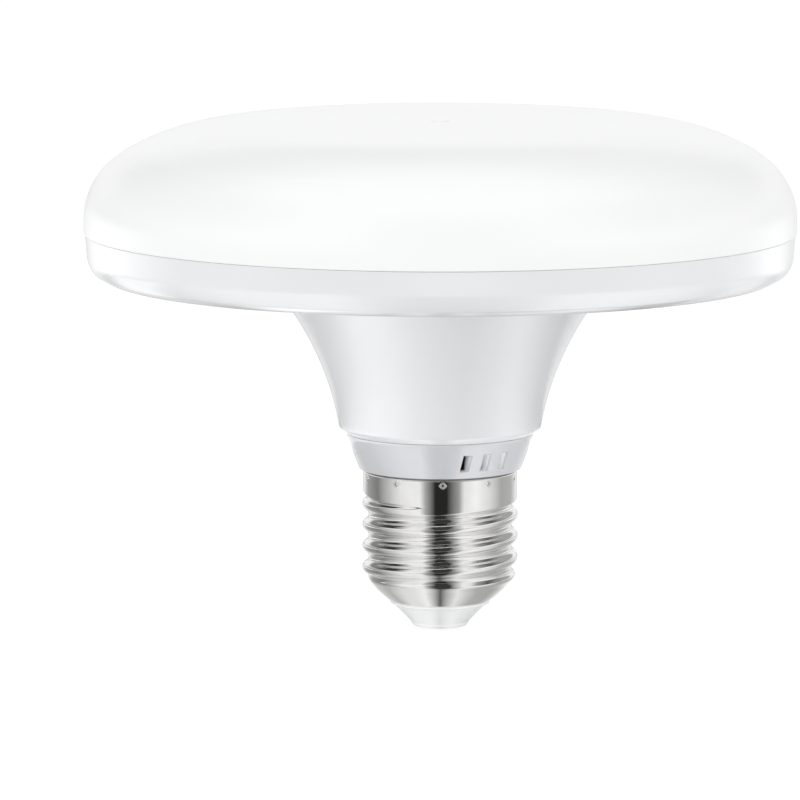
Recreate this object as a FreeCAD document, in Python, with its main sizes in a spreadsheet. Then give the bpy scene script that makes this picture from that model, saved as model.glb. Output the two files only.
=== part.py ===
"""A wide, flat LED lamp with an opal diffuser, a pan with a flared neck, and an E27 screw cap.

The lamp's axis is Z. The tip of its centre contact is the origin, and the diffuser is on top.
Azimuths are counted from the lamp's front, which faces -Y, and grow towards +X.
"""
import FreeCAD, Part
import math
import os
import re

import Sketcher

V = FreeCAD.Vector
Rotation = FreeCAD.Rotation
Z_AXIS = V(0, 0, 1)

# Two lengths that differ by less than this, in millimetres, are the same.
CLOSE = 1e-4
# The share of a straight run that one bend of a wire may take up.
BEND_SHARE = 0.45
# How far a swept wire's volume may be from its section times its length.
VOLUME_TOLERANCE = 0.01

# Every driving dimension, in millimetres and degrees.
SIZES = {
    # Fits
    "joint_gap": 0.15,
    "seam_gap": 0.2,
    "seat_gap": 0.25,
    # Centre contact
    "contact_stand": 0.4,
    "contact_radius": 2.6,
    "contact_tip_radius": 1.9,
    "contact_stem_radius": 1.2,
    "contact_stem_length": 3.2,
    # Insulator
    "insulator_height": 3.9,
    "insulator_step": 0.35,
    "insulator_foot_radius": 4.9,
    "insulator_edge": 0.7,
    "insulator_rim": 0.35,
    "insulator_spigot": 2.4,
    "insulator_cup_radius": 4.6,
    "insulator_cup_depth": 2.0,
    # Screw shell, a standard E27 cap
    "shell_length": 22.3,
    "shell_wall": 0.35,
    "mouth_rim": 1.1,
    "skirt_step": 0.15,
    "crest_radius": 13.15,
    "thread_depth": 1.05,
    "thread_pitch": 3.629,
    "thread_phase": 18.55,
    "thread_fade": 2.5,
    "skirt_length": 3.2,
    "cone_step": 0.1,
    "cone_height": 4.3,
    "cone_bulge": 0.55,
    "cone_foot_radius": 7.9,
    "dimple_count": 10,
    "dimple_radius": 0.55,
    "dimple_depth": 0.25,
    "dimple_drop": 0.8,
    # Holder, with its vented collar
    "collar_gap": 0.7,
    "collar_height": 6.1,
    "collar_ledge": 0.6,
    "collar_flare": 2.2,
    "collar_bulge": 0.12,
    "holder_wall": 1.1,
    "holder_tail": 2.2,
    "holder_head": 4.6,
    "vent_count": 3,
    "vent_azimuth": 17.1,
    "vent_spacing": 14.3,
    "vent_width": 1.45,
    "vent_height": 2.85,
    "vent_rise": 1.25,
    "rail_width": 1.2,
    "rail_depth": 1.6,
    # Housing: a pan and a flared neck in one moulding
    "lip_step": 1.25,
    "lip_chamfer": 1.0,
    "lip_height": 1.5,
    "neck_height": 26.75,
    "neck_top_radius": 29.6,
    "neck_bulge": 2.05,
    "neck_fillet": 3.0,
    "socket_depth": 5.4,
    "housing_wall": 1.6,
    "pan_radius": 59.8,
    "pan_draft": 0.3,
    "pan_height": 7.3,
    "pan_edge": 3.0,
    "pan_floor": 1.8,
    # Diffuser
    "diffuser_overhang": 0.2,
    "diffuser_wall": 1.5,
    "diffuser_upright": 2.2,
    "side_arc": 12.4,
    "side_angle": 59.0,
    "shoulder_arc": 38.5,
    "diffuser_lip": 3.1,
    "lip_ledge": 1.1,
    "gate_radius": 1.6,
    "gate_depth": 0.16,
    "gate_nub_radius": 0.5,
    "gate_nub_height": 0.12,
    # Heat spreader and light board
    "spreader_thickness": 1.2,
    "spreader_rim": 0.6,
    "spreader_hub_gap": 5.1,
    "spreader_hub_depth": 4.4,
    "light_board_margin": 5.65,
    "light_board_thickness": 1.0,
    "wire_hole_radius": 2.4,
    "wire_hole_offset": 6.5,
    "screw_inset": 2.0,
    "screw_count": 3,
    "screw_azimuth": 30.0,
    "screw_shank_radius": 1.25,
    "screw_head_radius": 2.7,
    "screw_head_height": 1.5,
    "screw_head_edge": 0.75,
    "screw_slot_length": 3.0,
    "screw_slot_width": 0.7,
    "screw_slot_depth": 0.8,
    # Light emitting diodes
    "led_length": 3.5,
    "led_width": 2.8,
    "led_height": 0.8,
    "led_window_radius": 1.15,
    "led_window_depth": 0.15,
    "led_inner_count": 8,
    "led_inner_inset": 4.0,
    "led_outer_count": 16,
    "led_outer_inset": 10.0,
    # Terminal on the light board
    "terminal_length": 6.4,
    "terminal_width": 4.6,
    "terminal_height": 3.0,
    "terminal_offset": 4.0,
    # Driver board, which stands in the neck
    "driver_thickness": 1.6,
    "driver_headroom": 8.3,
    "driver_stand": 5.4,
    # Parts on the driver board: a rise is counted from its foot and a drop from its top
    "bulk_radius": 5.0,
    "bulk_height": 16.0,
    "bulk_clearance": 0.5,
    "bulk_offset": 3.6,
    "bulk_groove": 0.83,
    "film_width": 8.0,
    "film_depth": 4.5,
    "film_height": 7.0,
    "film_clearance": 1.0,
    "coil_flange_radius": 4.5,
    "coil_spindle_radius": 2.0,
    "coil_height": 7.0,
    "coil_flange": 1.1,
    "coil_gap": 0.15,
    "coil_drop": 9.5,
    "bridge_width": 4.7,
    "bridge_depth": 1.5,
    "bridge_height": 4.0,
    "bridge_rise": 7.0,
    "chip_width": 4.9,
    "chip_depth": 1.5,
    "chip_height": 3.9,
    "chip_rise": 18.0,
    "chip_lead_count": 4,
    "chip_lead_width": 0.4,
    "chip_lead_reach": 0.9,
    "chip_lead_height": 0.5,
    "fuse_radius": 1.5,
    "fuse_length": 7.0,
    "fuse_rise": 6.0,
    "varistor_radius": 3.5,
    "varistor_thickness": 3.0,
    "varistor_drop": 11.0,
    "varistor_inset": 4.55,
    # Wires
    "wire_radius": 0.6,
    "wire_bend": 2.4,
    "wire_climb": 2.45,
    "wire_pitch": 2.6,
    "wire_overlap": 5.0,
    "live_offset": 5.0,
    "neutral_offset": 6.0,
}

# Heights and radii that follow from the sizes above.
LEVELS = {
    "insulator_foot": "contact_stand",
    "skirt_radius": "crest_radius - skirt_step",
    "root_radius": "crest_radius - thread_depth",
    "cone_top_radius": "root_radius + cone_step",
    "shell_mouth_radius": "cone_foot_radius - mouth_rim",
    "insulator_top_radius": "cone_foot_radius - insulator_step",
    "collar_foot_radius": "skirt_radius + collar_ledge",
    "collar_top_radius": "collar_foot_radius + collar_flare",
    "lip_radius": "collar_top_radius + lip_step",
    "diffuser_radius": "pan_radius + diffuser_overhang",
    "shell_foot": "insulator_foot + insulator_height",
    "shell_top": "shell_foot + shell_length",
    "cone_top": "shell_foot + cone_height",
    "skirt_foot": "shell_top - skirt_length",
    "skirt_bore": "skirt_radius - shell_wall",
    "thread_bore": "root_radius - shell_wall",
    "collar_foot": "shell_top + collar_gap",
    "collar_top": "collar_foot + collar_height",
    "tail_radius": "skirt_bore - joint_gap",
    "tail_foot": "shell_top - holder_tail",
    "holder_bore": "tail_radius - holder_wall",
    "neck_foot": "collar_top + joint_gap",
    "lip_level": "neck_foot + lip_height",
    "pan_foot": "neck_foot + neck_height",
    "pan_inside": "pan_foot + pan_floor",
    "pan_top": "pan_foot + pan_height",
    "pan_bore": "pan_radius - housing_wall - pan_draft",
    "socket_radius": "lip_radius - housing_wall",
    "socket_top": "neck_foot + socket_depth",
    "head_radius": "socket_radius - joint_gap",
    "head_bore": "head_radius - holder_wall",
    "head_top": "collar_top + holder_head",
    "chord_across": "neck_top_radius - lip_radius",
    "chord_up": "pan_foot - lip_level",
    "chord": "sqrt(chord_across^2 + chord_up^2)",
    "neck_arc": "(chord^2 / 4 + neck_bulge^2) / (2 * neck_bulge)",
    "neck_centre_r": "(lip_radius + neck_top_radius) / 2 + chord_up / chord * (neck_arc - neck_bulge)",
    "neck_centre_z": "(lip_level + pan_foot) / 2 - chord_across / chord * (neck_arc - neck_bulge)",
    "inner_arc": "neck_arc + housing_wall",
    "throat_radius": "neck_centre_r - sqrt(inner_arc^2 - (socket_top - neck_centre_z)^2)",
    "mouth_radius": "neck_centre_r - sqrt(inner_arc^2 - (pan_inside - neck_centre_z)^2)",
    "diffuser_foot": "pan_top + seam_gap",
    "side_level": "diffuser_foot + diffuser_upright",
    "side_centre": "diffuser_radius - side_arc",
    "shoulder_r": "side_centre + side_arc * cos(side_angle)",
    "shoulder_z": "side_level + side_arc * sin(side_angle)",
    "plateau_radius": "shoulder_r - shoulder_arc * cos(side_angle)",
    "diffuser_top": "shoulder_z + shoulder_arc * (1 - sin(side_angle))",
    "inner_shoulder_r": "side_centre + (side_arc - diffuser_wall) * cos(side_angle)",
    "inner_shoulder_z": "side_level + (side_arc - diffuser_wall) * sin(side_angle)",
    "lip_outside": "pan_bore - joint_gap",
    "lip_inside": "lip_outside - diffuser_wall",
    "lip_foot": "diffuser_foot - diffuser_lip",
    "spreader_radius": "pan_bore - seat_gap",
    "spreader_hub_radius": "mouth_radius - spreader_hub_gap",
    "spreader_top": "pan_inside + spreader_thickness",
    "light_board_radius": "spreader_radius - light_board_margin",
    "light_board_top": "spreader_top + light_board_thickness",
    "led_inner_circle": "spreader_hub_radius - led_inner_inset",
    "led_outer_circle": "light_board_radius - led_outer_inset",
    "screw_circle": "(spreader_hub_radius + led_outer_circle) / 2 - screw_inset",
    "driver_face": "driver_thickness / 2",
    "driver_half_width": "holder_bore - seat_gap",
    "driver_foot": "cone_top + driver_stand",
    "driver_top": "spreader_top - driver_headroom",
    "driver_height": "driver_top - driver_foot",
    "bulk_level": "driver_top - wire_overlap - bulk_clearance - bulk_height",
    "film_level": "bulk_level - film_clearance - film_height",
    "wire_line": "driver_face + seat_gap + wire_radius",
    "plug_level": "light_board_top + terminal_height / 2",
}

FUNCTIONS = {"sqrt", "sin", "cos", "tan"}

doc = FreeCAD.newDocument("Lamp")


def fill_sheet(name, rows):
    """A spreadsheet with one named cell a row."""
    sheet = doc.addObject("Spreadsheet::Sheet", name)
    for row, (alias, content) in enumerate(rows.items(), start=1):
        sheet.set(f"A{row}", alias)
        sheet.set(f"B{row}", content)
        sheet.setAlias(f"B{row}", alias)
    return sheet


def bound(text):
    """An expression in which each size or level carries the name of its sheet."""
    def place(match):
        word = match[0]
        if word in SIZES:
            return f"Sizes.{word}"
        if word in LEVELS:
            return f"Levels.{word}"
        if word in FUNCTIONS:
            return word
        raise NameError(word)
    return re.sub(r"[a-z]\w*", place, str(text))


sizes = fill_sheet("Sizes", {name: str(value) for name, value in SIZES.items()})
doc.recompute()
levels = fill_sheet("Levels", {name: f"={bound(text)}" for name, text in LEVELS.items()})
doc.recompute()


def size(text):
    """The value of an expression in sizes and levels."""
    return float(levels.evalExpression(bound(text)))


def bind(thing, **expressions):
    """Tie properties of an object to expressions."""
    for name, text in expressions.items():
        thing.setExpression(name, bound(text))


def put(thing, x=None, y=None, z=None, turn=None):
    """Place an object by expressions, and turn it about Z by one."""
    for name, text in (("x", x), ("y", y), ("z", z)):
        if text is not None:
            thing.setExpression(f"Placement.Base.{name}", bound(text))
    if turn is not None:
        thing.Placement.Rotation = Rotation(Z_AXIS, size(turn))
        thing.setExpression("Placement.Rotation.Angle", bound(turn))
    return thing


def origin_plane(body, role):
    """One of a body's own origin planes or axes."""
    return next(feature for feature in body.Origin.OriginFeatures if feature.Role == role)


def sketch_on(body, name, role="XZ_Plane"):
    """An empty sketch on a body's origin plane."""
    sketch = body.newObject("Sketcher::SketchObject", name)
    sketch.AttachmentSupport = (origin_plane(body, role), [""])
    sketch.MapMode = "FlatFace"
    return sketch


def arc_between(start, end, radius, side):
    """A circle's arc from start to end, its centre on the left (1) or the right (-1) of the way."""
    middle = (start + end) / 2
    half = (end - start) / 2
    reach = math.sqrt(max(radius ** 2 - half.Length ** 2, 0.0))
    centre = middle + V(-half.y, half.x, 0) / half.Length * reach * side
    first, last = (start, end) if side > 0 else (end, start)
    low = math.atan2(first.y - centre.y, first.x - centre.x)
    high = math.atan2(last.y - centre.y, last.x - centre.x)
    if high < low:
        high += 2 * math.pi
    return Part.ArcOfCircle(Part.Circle(centre, Z_AXIS, radius), low, high)


def draw_outline(sketch, corners):
    """A closed outline whose corners and arc radii are tied to the sizes.

    A corner is (across, up), or (across, up, radius, side) where an arc leads from it to the next.
    """
    points = [V(size(corner[0]), size(corner[1]), 0) for corner in corners]
    count = len(corners)
    starts = []
    ends = []
    for i, corner in enumerate(corners):
        here, there = points[i], points[(i + 1) % count]
        if len(corner) == 2:
            starts.append((sketch.addGeometry(Part.LineSegment(here, there)), 1))
            ends.append((starts[-1][0], 2))
        else:
            arc = sketch.addGeometry(arc_between(here, there, size(corner[2]), corner[3]))
            starts.append((arc, 1 if corner[3] > 0 else 2))
            ends.append((arc, 2 if corner[3] > 0 else 1))
    for i, corner in enumerate(corners):
        sketch.addConstraint(Sketcher.Constraint("Coincident", *ends[i - 1], *starts[i]))
        for kind, text in (("DistanceX", corner[0]), ("DistanceY", corner[1])):
            value = size(text)
            index = sketch.addConstraint(Sketcher.Constraint(kind, -1, 1, *starts[i], value))
            sketch.setExpression(f"Constraints[{index}]", bound(text))
        if len(corner) > 2:
            radius = Sketcher.Constraint("Radius", starts[i][0], size(corner[2]))
            index = sketch.addConstraint(radius)
            sketch.setExpression(f"Constraints[{index}]", bound(corner[2]))


def turned(label, corners):
    """A body made by turning an outline about the Z axis."""
    body = doc.addObject("PartDesign::Body", label)
    sketch = sketch_on(body, f"{label}_outline")
    draw_outline(sketch, corners)
    revolution = body.newObject("PartDesign::Revolution", f"{label}_turned")
    revolution.Profile = sketch
    revolution.ReferenceAxis = (sketch, ["V_Axis"])
    revolution.Angle = 360
    doc.recompute()
    return body


def rectangle(left, bottom, right, top):
    """The corners of a rectangle, counted anticlockwise."""
    return [(left, bottom), (right, bottom), (right, top), (left, top)]


def round_edge(body, radius, circle_radius, level):
    """A fillet on the circular edge that has a given radius and level."""
    base = body.Tip
    names = []
    for i, edge in enumerate(base.Shape.Edges, start=1):
        if not isinstance(edge.Curve, Part.Circle):
            continue
        near_radius = abs(edge.Curve.Radius - size(circle_radius)) < CLOSE
        if near_radius and abs(edge.Curve.Center.z - size(level)) < CLOSE:
            names.append(f"Edge{i}")
    fillet = body.newObject("PartDesign::Fillet", f"{body.Label}_fillet")
    fillet.Base = (base, names)
    bind(fillet, Radius=radius)
    doc.recompute()


def polar(body, feature, count, span):
    """Repeat a feature of a body about the Z axis."""
    pattern = body.newObject("PartDesign::PolarPattern", f"{feature.Name}_ring")
    pattern.Originals = [feature]
    pattern.Axis = (origin_plane(body, "Z_Axis"), [""])
    bind(pattern, Occurrences=count, Angle=span)
    body.Tip = pattern
    doc.recompute()
    return pattern


def must_remove(body, before, what):
    """Stop if a cut took nothing away."""
    if body.Shape.Volume >= before - CLOSE:
        raise RuntimeError(f"{what} cut nothing from {body.Label}")


def make_diffuser():
    """Opal cover: a flat crown, a wide shoulder, a rounded side and a lip that plugs into the pan."""
    inner_side = "side_arc - diffuser_wall"
    inner_shoulder = "shoulder_arc - diffuser_wall"
    return turned("diffuser", [
        ("0", "diffuser_top - gate_depth + gate_nub_height"),
        ("0", "diffuser_top - diffuser_wall"),
        ("plateau_radius", "diffuser_top - diffuser_wall", inner_shoulder, -1),
        ("inner_shoulder_r", "inner_shoulder_z", inner_side, -1),
        ("diffuser_radius - diffuser_wall", "side_level"),
        ("diffuser_radius - diffuser_wall", "diffuser_foot + lip_ledge"),
        ("lip_inside", "diffuser_foot + lip_ledge"),
        ("lip_inside", "lip_foot"),
        ("lip_outside", "lip_foot"),
        ("lip_outside", "diffuser_foot"),
        ("diffuser_radius", "diffuser_foot"),
        ("diffuser_radius", "side_level", "side_arc", 1),
        ("shoulder_r", "shoulder_z", "shoulder_arc", 1),
        ("plateau_radius", "diffuser_top"),
        ("gate_radius", "diffuser_top"),
        ("gate_radius", "diffuser_top - gate_depth"),
        ("gate_nub_radius", "diffuser_top - gate_depth"),
        ("gate_nub_radius", "diffuser_top - gate_depth + gate_nub_height"),
    ])


def make_housing():
    """Pan and flared neck, moulded in one, with a chamfered lip and a socket for the holder."""
    body = turned("housing", [
        ("pan_radius", "pan_top"),
        ("pan_bore", "pan_top"),
        ("pan_bore", "pan_inside"),
        ("mouth_radius", "pan_inside", "inner_arc", 1),
        ("throat_radius", "socket_top"),
        ("socket_radius", "socket_top"),
        ("socket_radius", "neck_foot"),
        ("lip_radius - lip_chamfer", "neck_foot"),
        ("lip_radius", "lip_level", "neck_arc", -1),
        ("neck_top_radius", "pan_foot"),
        ("pan_radius - pan_draft - pan_edge", "pan_foot", "pan_edge", 1),
        ("pan_radius - pan_draft", "pan_foot + pan_edge"),
    ])
    round_edge(body, "neck_fillet", "neck_top_radius", "pan_foot")
    return body


def make_holder():
    """Collar between neck and cap, with a head in the neck, a tail in the cap, vents and board rails."""
    chord_squared = "((collar_top_radius - collar_foot_radius)^2 + collar_height^2)"
    body = turned("driver_holder", [
        ("holder_bore", "tail_foot"),
        ("tail_radius", "tail_foot"),
        ("tail_radius", "collar_foot"),
        ("collar_foot_radius", "collar_foot",
         f"({chord_squared} / 4 + collar_bulge^2) / (2 * collar_bulge)", 1),
        ("collar_top_radius", "collar_top"),
        ("head_radius", "collar_top"),
        ("head_radius", "head_top"),
        ("head_bore", "head_top"),
        ("head_bore", "collar_top"),
        ("holder_bore", "collar_top - holder_wall"),
    ])
    for side, name in enumerate(("right", "left")):
        cut_vents(body, name, f"vent_azimuth + {180 * side}")
    for side in (-1, 1):
        add_rails(body, side)
    return body


def cut_vents(body, name, azimuth):
    """A row of upright vents through one side of the collar."""
    before = body.Shape.Volume
    sketch = sketch_on(body, f"vent_{name}")
    sketch.AttachmentOffset = FreeCAD.Placement(V(0, 0, 0), Rotation(V(0, 1, 0), size(azimuth)))
    sketch.setExpression("AttachmentOffset.Rotation.Angle", bound(azimuth))
    foot = "collar_foot + vent_rise"
    draw_outline(sketch, rectangle("0 - vent_width / 2", foot, "vent_width / 2", f"{foot} + vent_height"))
    pocket = body.newObject("PartDesign::Pocket", f"vents_{name}")
    pocket.Profile = sketch
    pocket.Reversed = True
    bind(pocket, Length="collar_top_radius + holder_wall")
    doc.recompute()
    polar(body, pocket, "vent_count", "vent_spacing * (vent_count - 1)")
    must_remove(body, before, "vents")


def add_rails(body, side):
    """Two rails inside the bore that hold one edge of the driver board."""
    wall_end = "holder_bore + holder_wall / 2"
    near = "driver_face + seat_gap"
    far = f"{near} + rail_width"
    for half in (-1, 1):
        across = sorted((f"{side} * ({wall_end} - rail_depth)", f"{side} * ({wall_end})"), key=size)
        along = sorted((f"{half} * ({near})", f"{half} * ({far})"), key=size)
        name = f"rail_{'left' if side < 0 else 'right'}_{'front' if half < 0 else 'back'}"
        sketch = sketch_on(body, f"{name}_outline", "XY_Plane")
        sketch.AttachmentOffset.Base.z = size("tail_foot")
        sketch.setExpression("AttachmentOffset.Base.z", bound("tail_foot"))
        draw_outline(sketch, rectangle(across[0], along[0], across[1], along[1]))
        pad = body.newObject("PartDesign::Pad", name)
        pad.Profile = sketch
        bind(pad, Length="collar_top - holder_wall - tail_foot")
        doc.recompute()


def thread_sections():
    """Cross-sections of the screw shell from its foot to its top: level, radius, offset.

    Cut across, a round single-start thread is a circle set off its axis by half the thread's depth,
    and the offset turns once round the axis in each pitch. At both ends of the thread the offset fades.
    """
    steps_per_pitch = 7
    cone_steps = 3
    middle = size("(crest_radius + root_radius) / 2")
    half_depth = size("(crest_radius - root_radius) / 2")
    low, high, fade = size("cone_top"), size("skirt_foot"), size("thread_fade")
    foot, cone_top_radius = size("shell_foot"), size("cone_top_radius")
    cone_foot_radius, bulge = size("cone_foot_radius"), size("cone_bulge")
    sections = []
    for step in range(cone_steps):
        share = step / cone_steps
        radius = cone_foot_radius + (cone_top_radius - cone_foot_radius) * share
        sections.append((foot + (low - foot) * share, radius + 4 * bulge * share * (1 - share), 0.0))
    count = max(steps_per_pitch, round((high - low) / size("thread_pitch") * steps_per_pitch))
    for step in range(count + 1):
        level = low + (high - low) * step / count
        start = eased((level - low) / fade)
        end = eased((high - level) / fade)
        radius = middle + (cone_top_radius - middle) * (1 - start)
        radius += (size("skirt_radius") - middle) * (1 - end)
        sections.append((level, radius, half_depth * min(start, end)))
    sections.append((size("shell_top"), size("skirt_radius"), 0.0))
    return sections


def eased(share):
    """A share from 0 to 1 that leaves and arrives level."""
    share = min(max(share, 0.0), 1.0)
    return share * share * (3 - 2 * share)


def make_screw_shell():
    """Rolled nickel-plated shell: a plain skirt with a ring of crimp dimples, the thread and a cone."""
    wires = []
    for level, radius, offset in thread_sections():
        turn = 2 * math.pi * (level - size("thread_phase")) / size("thread_pitch") - math.pi / 2
        centre = V(offset * math.cos(turn), offset * math.sin(turn), level)
        wires.append(Part.Wire([Part.makeCircle(radius, centre, Z_AXIS)]))
    shape = Part.makeLoft(wires, True, True)
    shape = shape.cut(shell_bore())
    for tool in crimp_points():
        shape = shape.cut(tool)
    shell = doc.addObject("Part::Feature", "screw_shell")
    shell.Shape = shape
    return shell


def shell_bore():
    """The room inside the screw shell, wide in the skirt, plain behind the thread, tapered in the cone."""
    wall = size("shell_wall")
    skirt, bore = size("skirt_bore"), size("thread_bore")
    narrowing = skirt - bore
    outline = [
        V(0, 0, size("shell_foot") - wall),
        V(size("shell_mouth_radius"), 0, size("shell_foot") - wall),
        V(size("shell_mouth_radius"), 0, size("shell_foot") + wall),
        V(size("cone_foot_radius - shell_wall"), 0, size("shell_foot") + wall),
        V(bore, 0, size("cone_top") + wall),
        V(bore, 0, size("skirt_foot") - narrowing / 2),
        V(skirt, 0, size("skirt_foot") + narrowing / 2),
        V(skirt, 0, size("shell_top") + wall),
        V(0, 0, size("shell_top") + wall),
    ]
    face = Part.Face(Part.makePolygon(outline + outline[:1]))
    return face.revolve(V(0, 0, 0), Z_AXIS, 360)


def crimp_points():
    """Pointed punches that press the ring of dimples into the skirt, the first one at the front."""
    depth, radius = size("dimple_depth"), size("dimple_radius")
    reach = size("skirt_radius") - depth
    level = size("shell_top - dimple_drop")
    count = int(size("dimple_count"))
    for i in range(count):
        azimuth = 2 * math.pi * i / count
        outward = V(math.sin(azimuth), -math.cos(azimuth), 0)
        yield Part.makeCone(0, 2 * radius, 2 * depth, outward * reach + V(0, 0, level), outward)


def make_insulator():
    """White cone between shell and contact, with a spigot in the shell's mouth and a cup for the wire."""
    body = turned("insulator", [
        ("contact_stem_radius + joint_gap", "insulator_foot"),
        ("insulator_foot_radius - insulator_edge", "insulator_foot", "insulator_edge", 1),
        ("insulator_foot_radius", "insulator_foot + insulator_edge"),
        ("insulator_top_radius", "shell_foot - joint_gap - insulator_rim"),
        ("insulator_top_radius", "shell_foot - joint_gap"),
        ("shell_mouth_radius - joint_gap", "shell_foot - joint_gap"),
        ("shell_mouth_radius - joint_gap", "shell_foot + insulator_spigot"),
        ("insulator_cup_radius", "shell_foot + insulator_spigot"),
        ("insulator_cup_radius", "shell_foot + insulator_spigot - insulator_cup_depth"),
        ("contact_stem_radius + joint_gap", "shell_foot + insulator_spigot - insulator_cup_depth"),
    ])
    return body


def make_centre_contact():
    """Riveted centre contact, a low button with a stem through the insulator."""
    return turned("centre_contact", [
        ("0", "0"),
        ("contact_tip_radius", "0"),
        ("contact_radius", "contact_stand"),
        ("contact_stem_radius", "contact_stand"),
        ("contact_stem_radius", "contact_stand + contact_stem_length"),
        ("0", "contact_stand + contact_stem_length"),
    ])


def make_heat_spreader():
    """Pressed aluminium dish on the pan's floor, with a hub that reaches into the neck."""
    body = turned("heat_spreader", [
        ("spreader_hub_radius - spreader_thickness", "pan_inside - spreader_hub_depth"),
        ("spreader_hub_radius", "pan_inside - spreader_hub_depth"),
        ("spreader_hub_radius", "pan_inside"),
        ("spreader_radius", "pan_inside"),
        ("spreader_radius", "spreader_top + spreader_rim"),
        ("spreader_radius - spreader_thickness", "spreader_top + spreader_rim"),
        ("spreader_radius - spreader_thickness", "spreader_top"),
        ("spreader_hub_radius - spreader_thickness", "spreader_top"),
    ])
    drill(body, "screw_shank_radius + joint_gap / 2")
    return body


def make_light_board():
    """Round metal-core board that carries the diodes, with holes for its screws and the wires."""
    body = turned("light_board", [
        ("0", "spreader_top"),
        ("light_board_radius", "spreader_top"),
        ("light_board_radius", "light_board_top"),
        ("0", "light_board_top"),
    ])
    drill(body, "screw_shank_radius + seat_gap")
    pierce(body, "wire_hole", "0", "0 - wire_hole_offset", "wire_hole_radius")
    return body


def pierce(body, name, across, along, radius):
    """A round hole down through a body, and the feature that cut it."""
    before = body.Shape.Volume
    sketch = sketch_on(body, f"{name}_outline", "XY_Plane")
    sketch.addGeometry(Part.Circle(V(size(across), size(along), 0), Z_AXIS, size(radius)))
    for kind, text in (("DistanceX", across), ("DistanceY", along)):
        index = sketch.addConstraint(Sketcher.Constraint(kind, -1, 1, 0, 3, size(text)))
        sketch.setExpression(f"Constraints[{index}]", bound(text))
    index = sketch.addConstraint(Sketcher.Constraint("Radius", 0, size(radius)))
    sketch.setExpression(f"Constraints[{index}]", bound(radius))
    pocket = body.newObject("PartDesign::Pocket", name)
    pocket.Profile = sketch
    pocket.Reversed = True
    bind(pocket, Length="diffuser_top")
    doc.recompute()
    must_remove(body, before, name)
    return pocket


def drill(body, radius):
    """The ring of screw holes."""
    across = "screw_circle * sin(screw_azimuth)"
    along = "0 - screw_circle * cos(screw_azimuth)"
    pocket = pierce(body, "screw_hole", across, along, radius)
    polar(body, pocket, "screw_count", "360")


def make_screws():
    """Cross-slotted screws that hold the light board to the spreader, one node for the set."""
    head_top = size("light_board_top + screw_head_height")
    shank = Part.makeCylinder(size("screw_shank_radius"), head_top - size("pan_inside + seat_gap"),
                              V(0, 0, size("pan_inside + seat_gap")))
    head = Part.makeCylinder(size("screw_head_radius"), size("screw_head_height"),
                             V(0, 0, size("light_board_top")))
    screw = shank.fuse(head).removeSplitter()
    crown = [edge for edge in screw.Edges
             if isinstance(edge.Curve, Part.Circle) and edge.Curve.Center.z > head_top - CLOSE]
    screw = screw.makeFillet(size("screw_head_edge"), crown)
    length, width, depth = size("screw_slot_length"), size("screw_slot_width"), size("screw_slot_depth")
    for turn in (0, 90):
        slot = Part.makeBox(length, width, depth * 2, V(-length / 2, -width / 2, head_top - depth))
        slot.rotate(V(0, 0, 0), Z_AXIS, turn)
        screw = screw.cut(slot)
    count = int(size("screw_count"))
    solids = []
    for i in range(count):
        azimuth = math.radians(size("screw_azimuth") + 360 * i / count)
        reach = size("screw_circle")
        solids.append(screw.translated(V(reach * math.sin(azimuth), -reach * math.cos(azimuth), 0)))
    screws = doc.addObject("Part::Feature", "board_screws")
    screws.Shape = Part.Compound(solids)
    return screws


def block(label, spans, low):
    """A box with its spans and its lowest corner tied to expressions."""
    box = doc.addObject("Part::Box", label)
    bind(box, Length=spans[0], Width=spans[1], Height=spans[2])
    return put(box, *low)


def make_led(number, circle, turn):
    """One surface-mounted diode with a round window, on a circle about the axis."""
    case = block(f"led_{number:02d}_case", ("led_length", "led_width", "led_height"),
                 ("0 - led_length / 2", "0 - led_width / 2", "0"))
    window = doc.addObject("Part::Cylinder", f"led_{number:02d}_window")
    bind(window, Radius="led_window_radius", Height="led_window_depth * 2")
    put(window, z="led_height - led_window_depth")
    led = doc.addObject("Part::Cut", f"led_{number:02d}")
    led.Base = case
    led.Tool = window
    return put(led, f"{circle} * sin({turn})", f"0 - {circle} * cos({turn})", "light_board_top", turn)


def make_leds():
    """Two rings of diodes."""
    leds = []
    rings = (("led_inner_count", "led_inner_circle"), ("led_outer_count", "led_outer_circle"))
    for ring, (count, circle) in enumerate(rings):
        for i in range(int(size(count))):
            turn = f"360 * ({i} + {ring} / 2) / {count}"
            leds.append(make_led(len(leds) + 1, circle, turn))
    return leds


def make_terminal():
    """Two-pole terminal on the light board, where the wires plug in."""
    return block("board_terminal", ("terminal_length", "terminal_width", "terminal_height"),
                 ("0 - terminal_length / 2", "terminal_offset - wire_hole_offset", "light_board_top"))


def make_driver_board():
    """Circuit board that stands in the neck between the holder's rails."""
    return block("driver_board", ("driver_half_width * 2", "driver_thickness", "driver_height"),
                 ("0 - driver_half_width", "0 - driver_face", "driver_foot"))


def make_bulk_capacitor():
    """Electrolytic capacitor laid along the board's front, with the groove that crimps its bung."""
    body = turned("bulk_capacitor", [
        ("0", "0"),
        ("bulk_radius", "0"),
        ("bulk_radius", "2 * bulk_groove"),
        ("bulk_radius - bulk_groove / 2", "3 * bulk_groove"),
        ("bulk_radius", "4 * bulk_groove"),
        ("bulk_radius", "bulk_height - bulk_groove", "bulk_groove", 1),
        ("bulk_radius - bulk_groove", "bulk_height"),
        ("0", "bulk_height"),
    ])
    centre_line = "0 - driver_face - seat_gap - bulk_radius"
    return put(body, "0 - bulk_offset", centre_line, "bulk_level")


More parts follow.
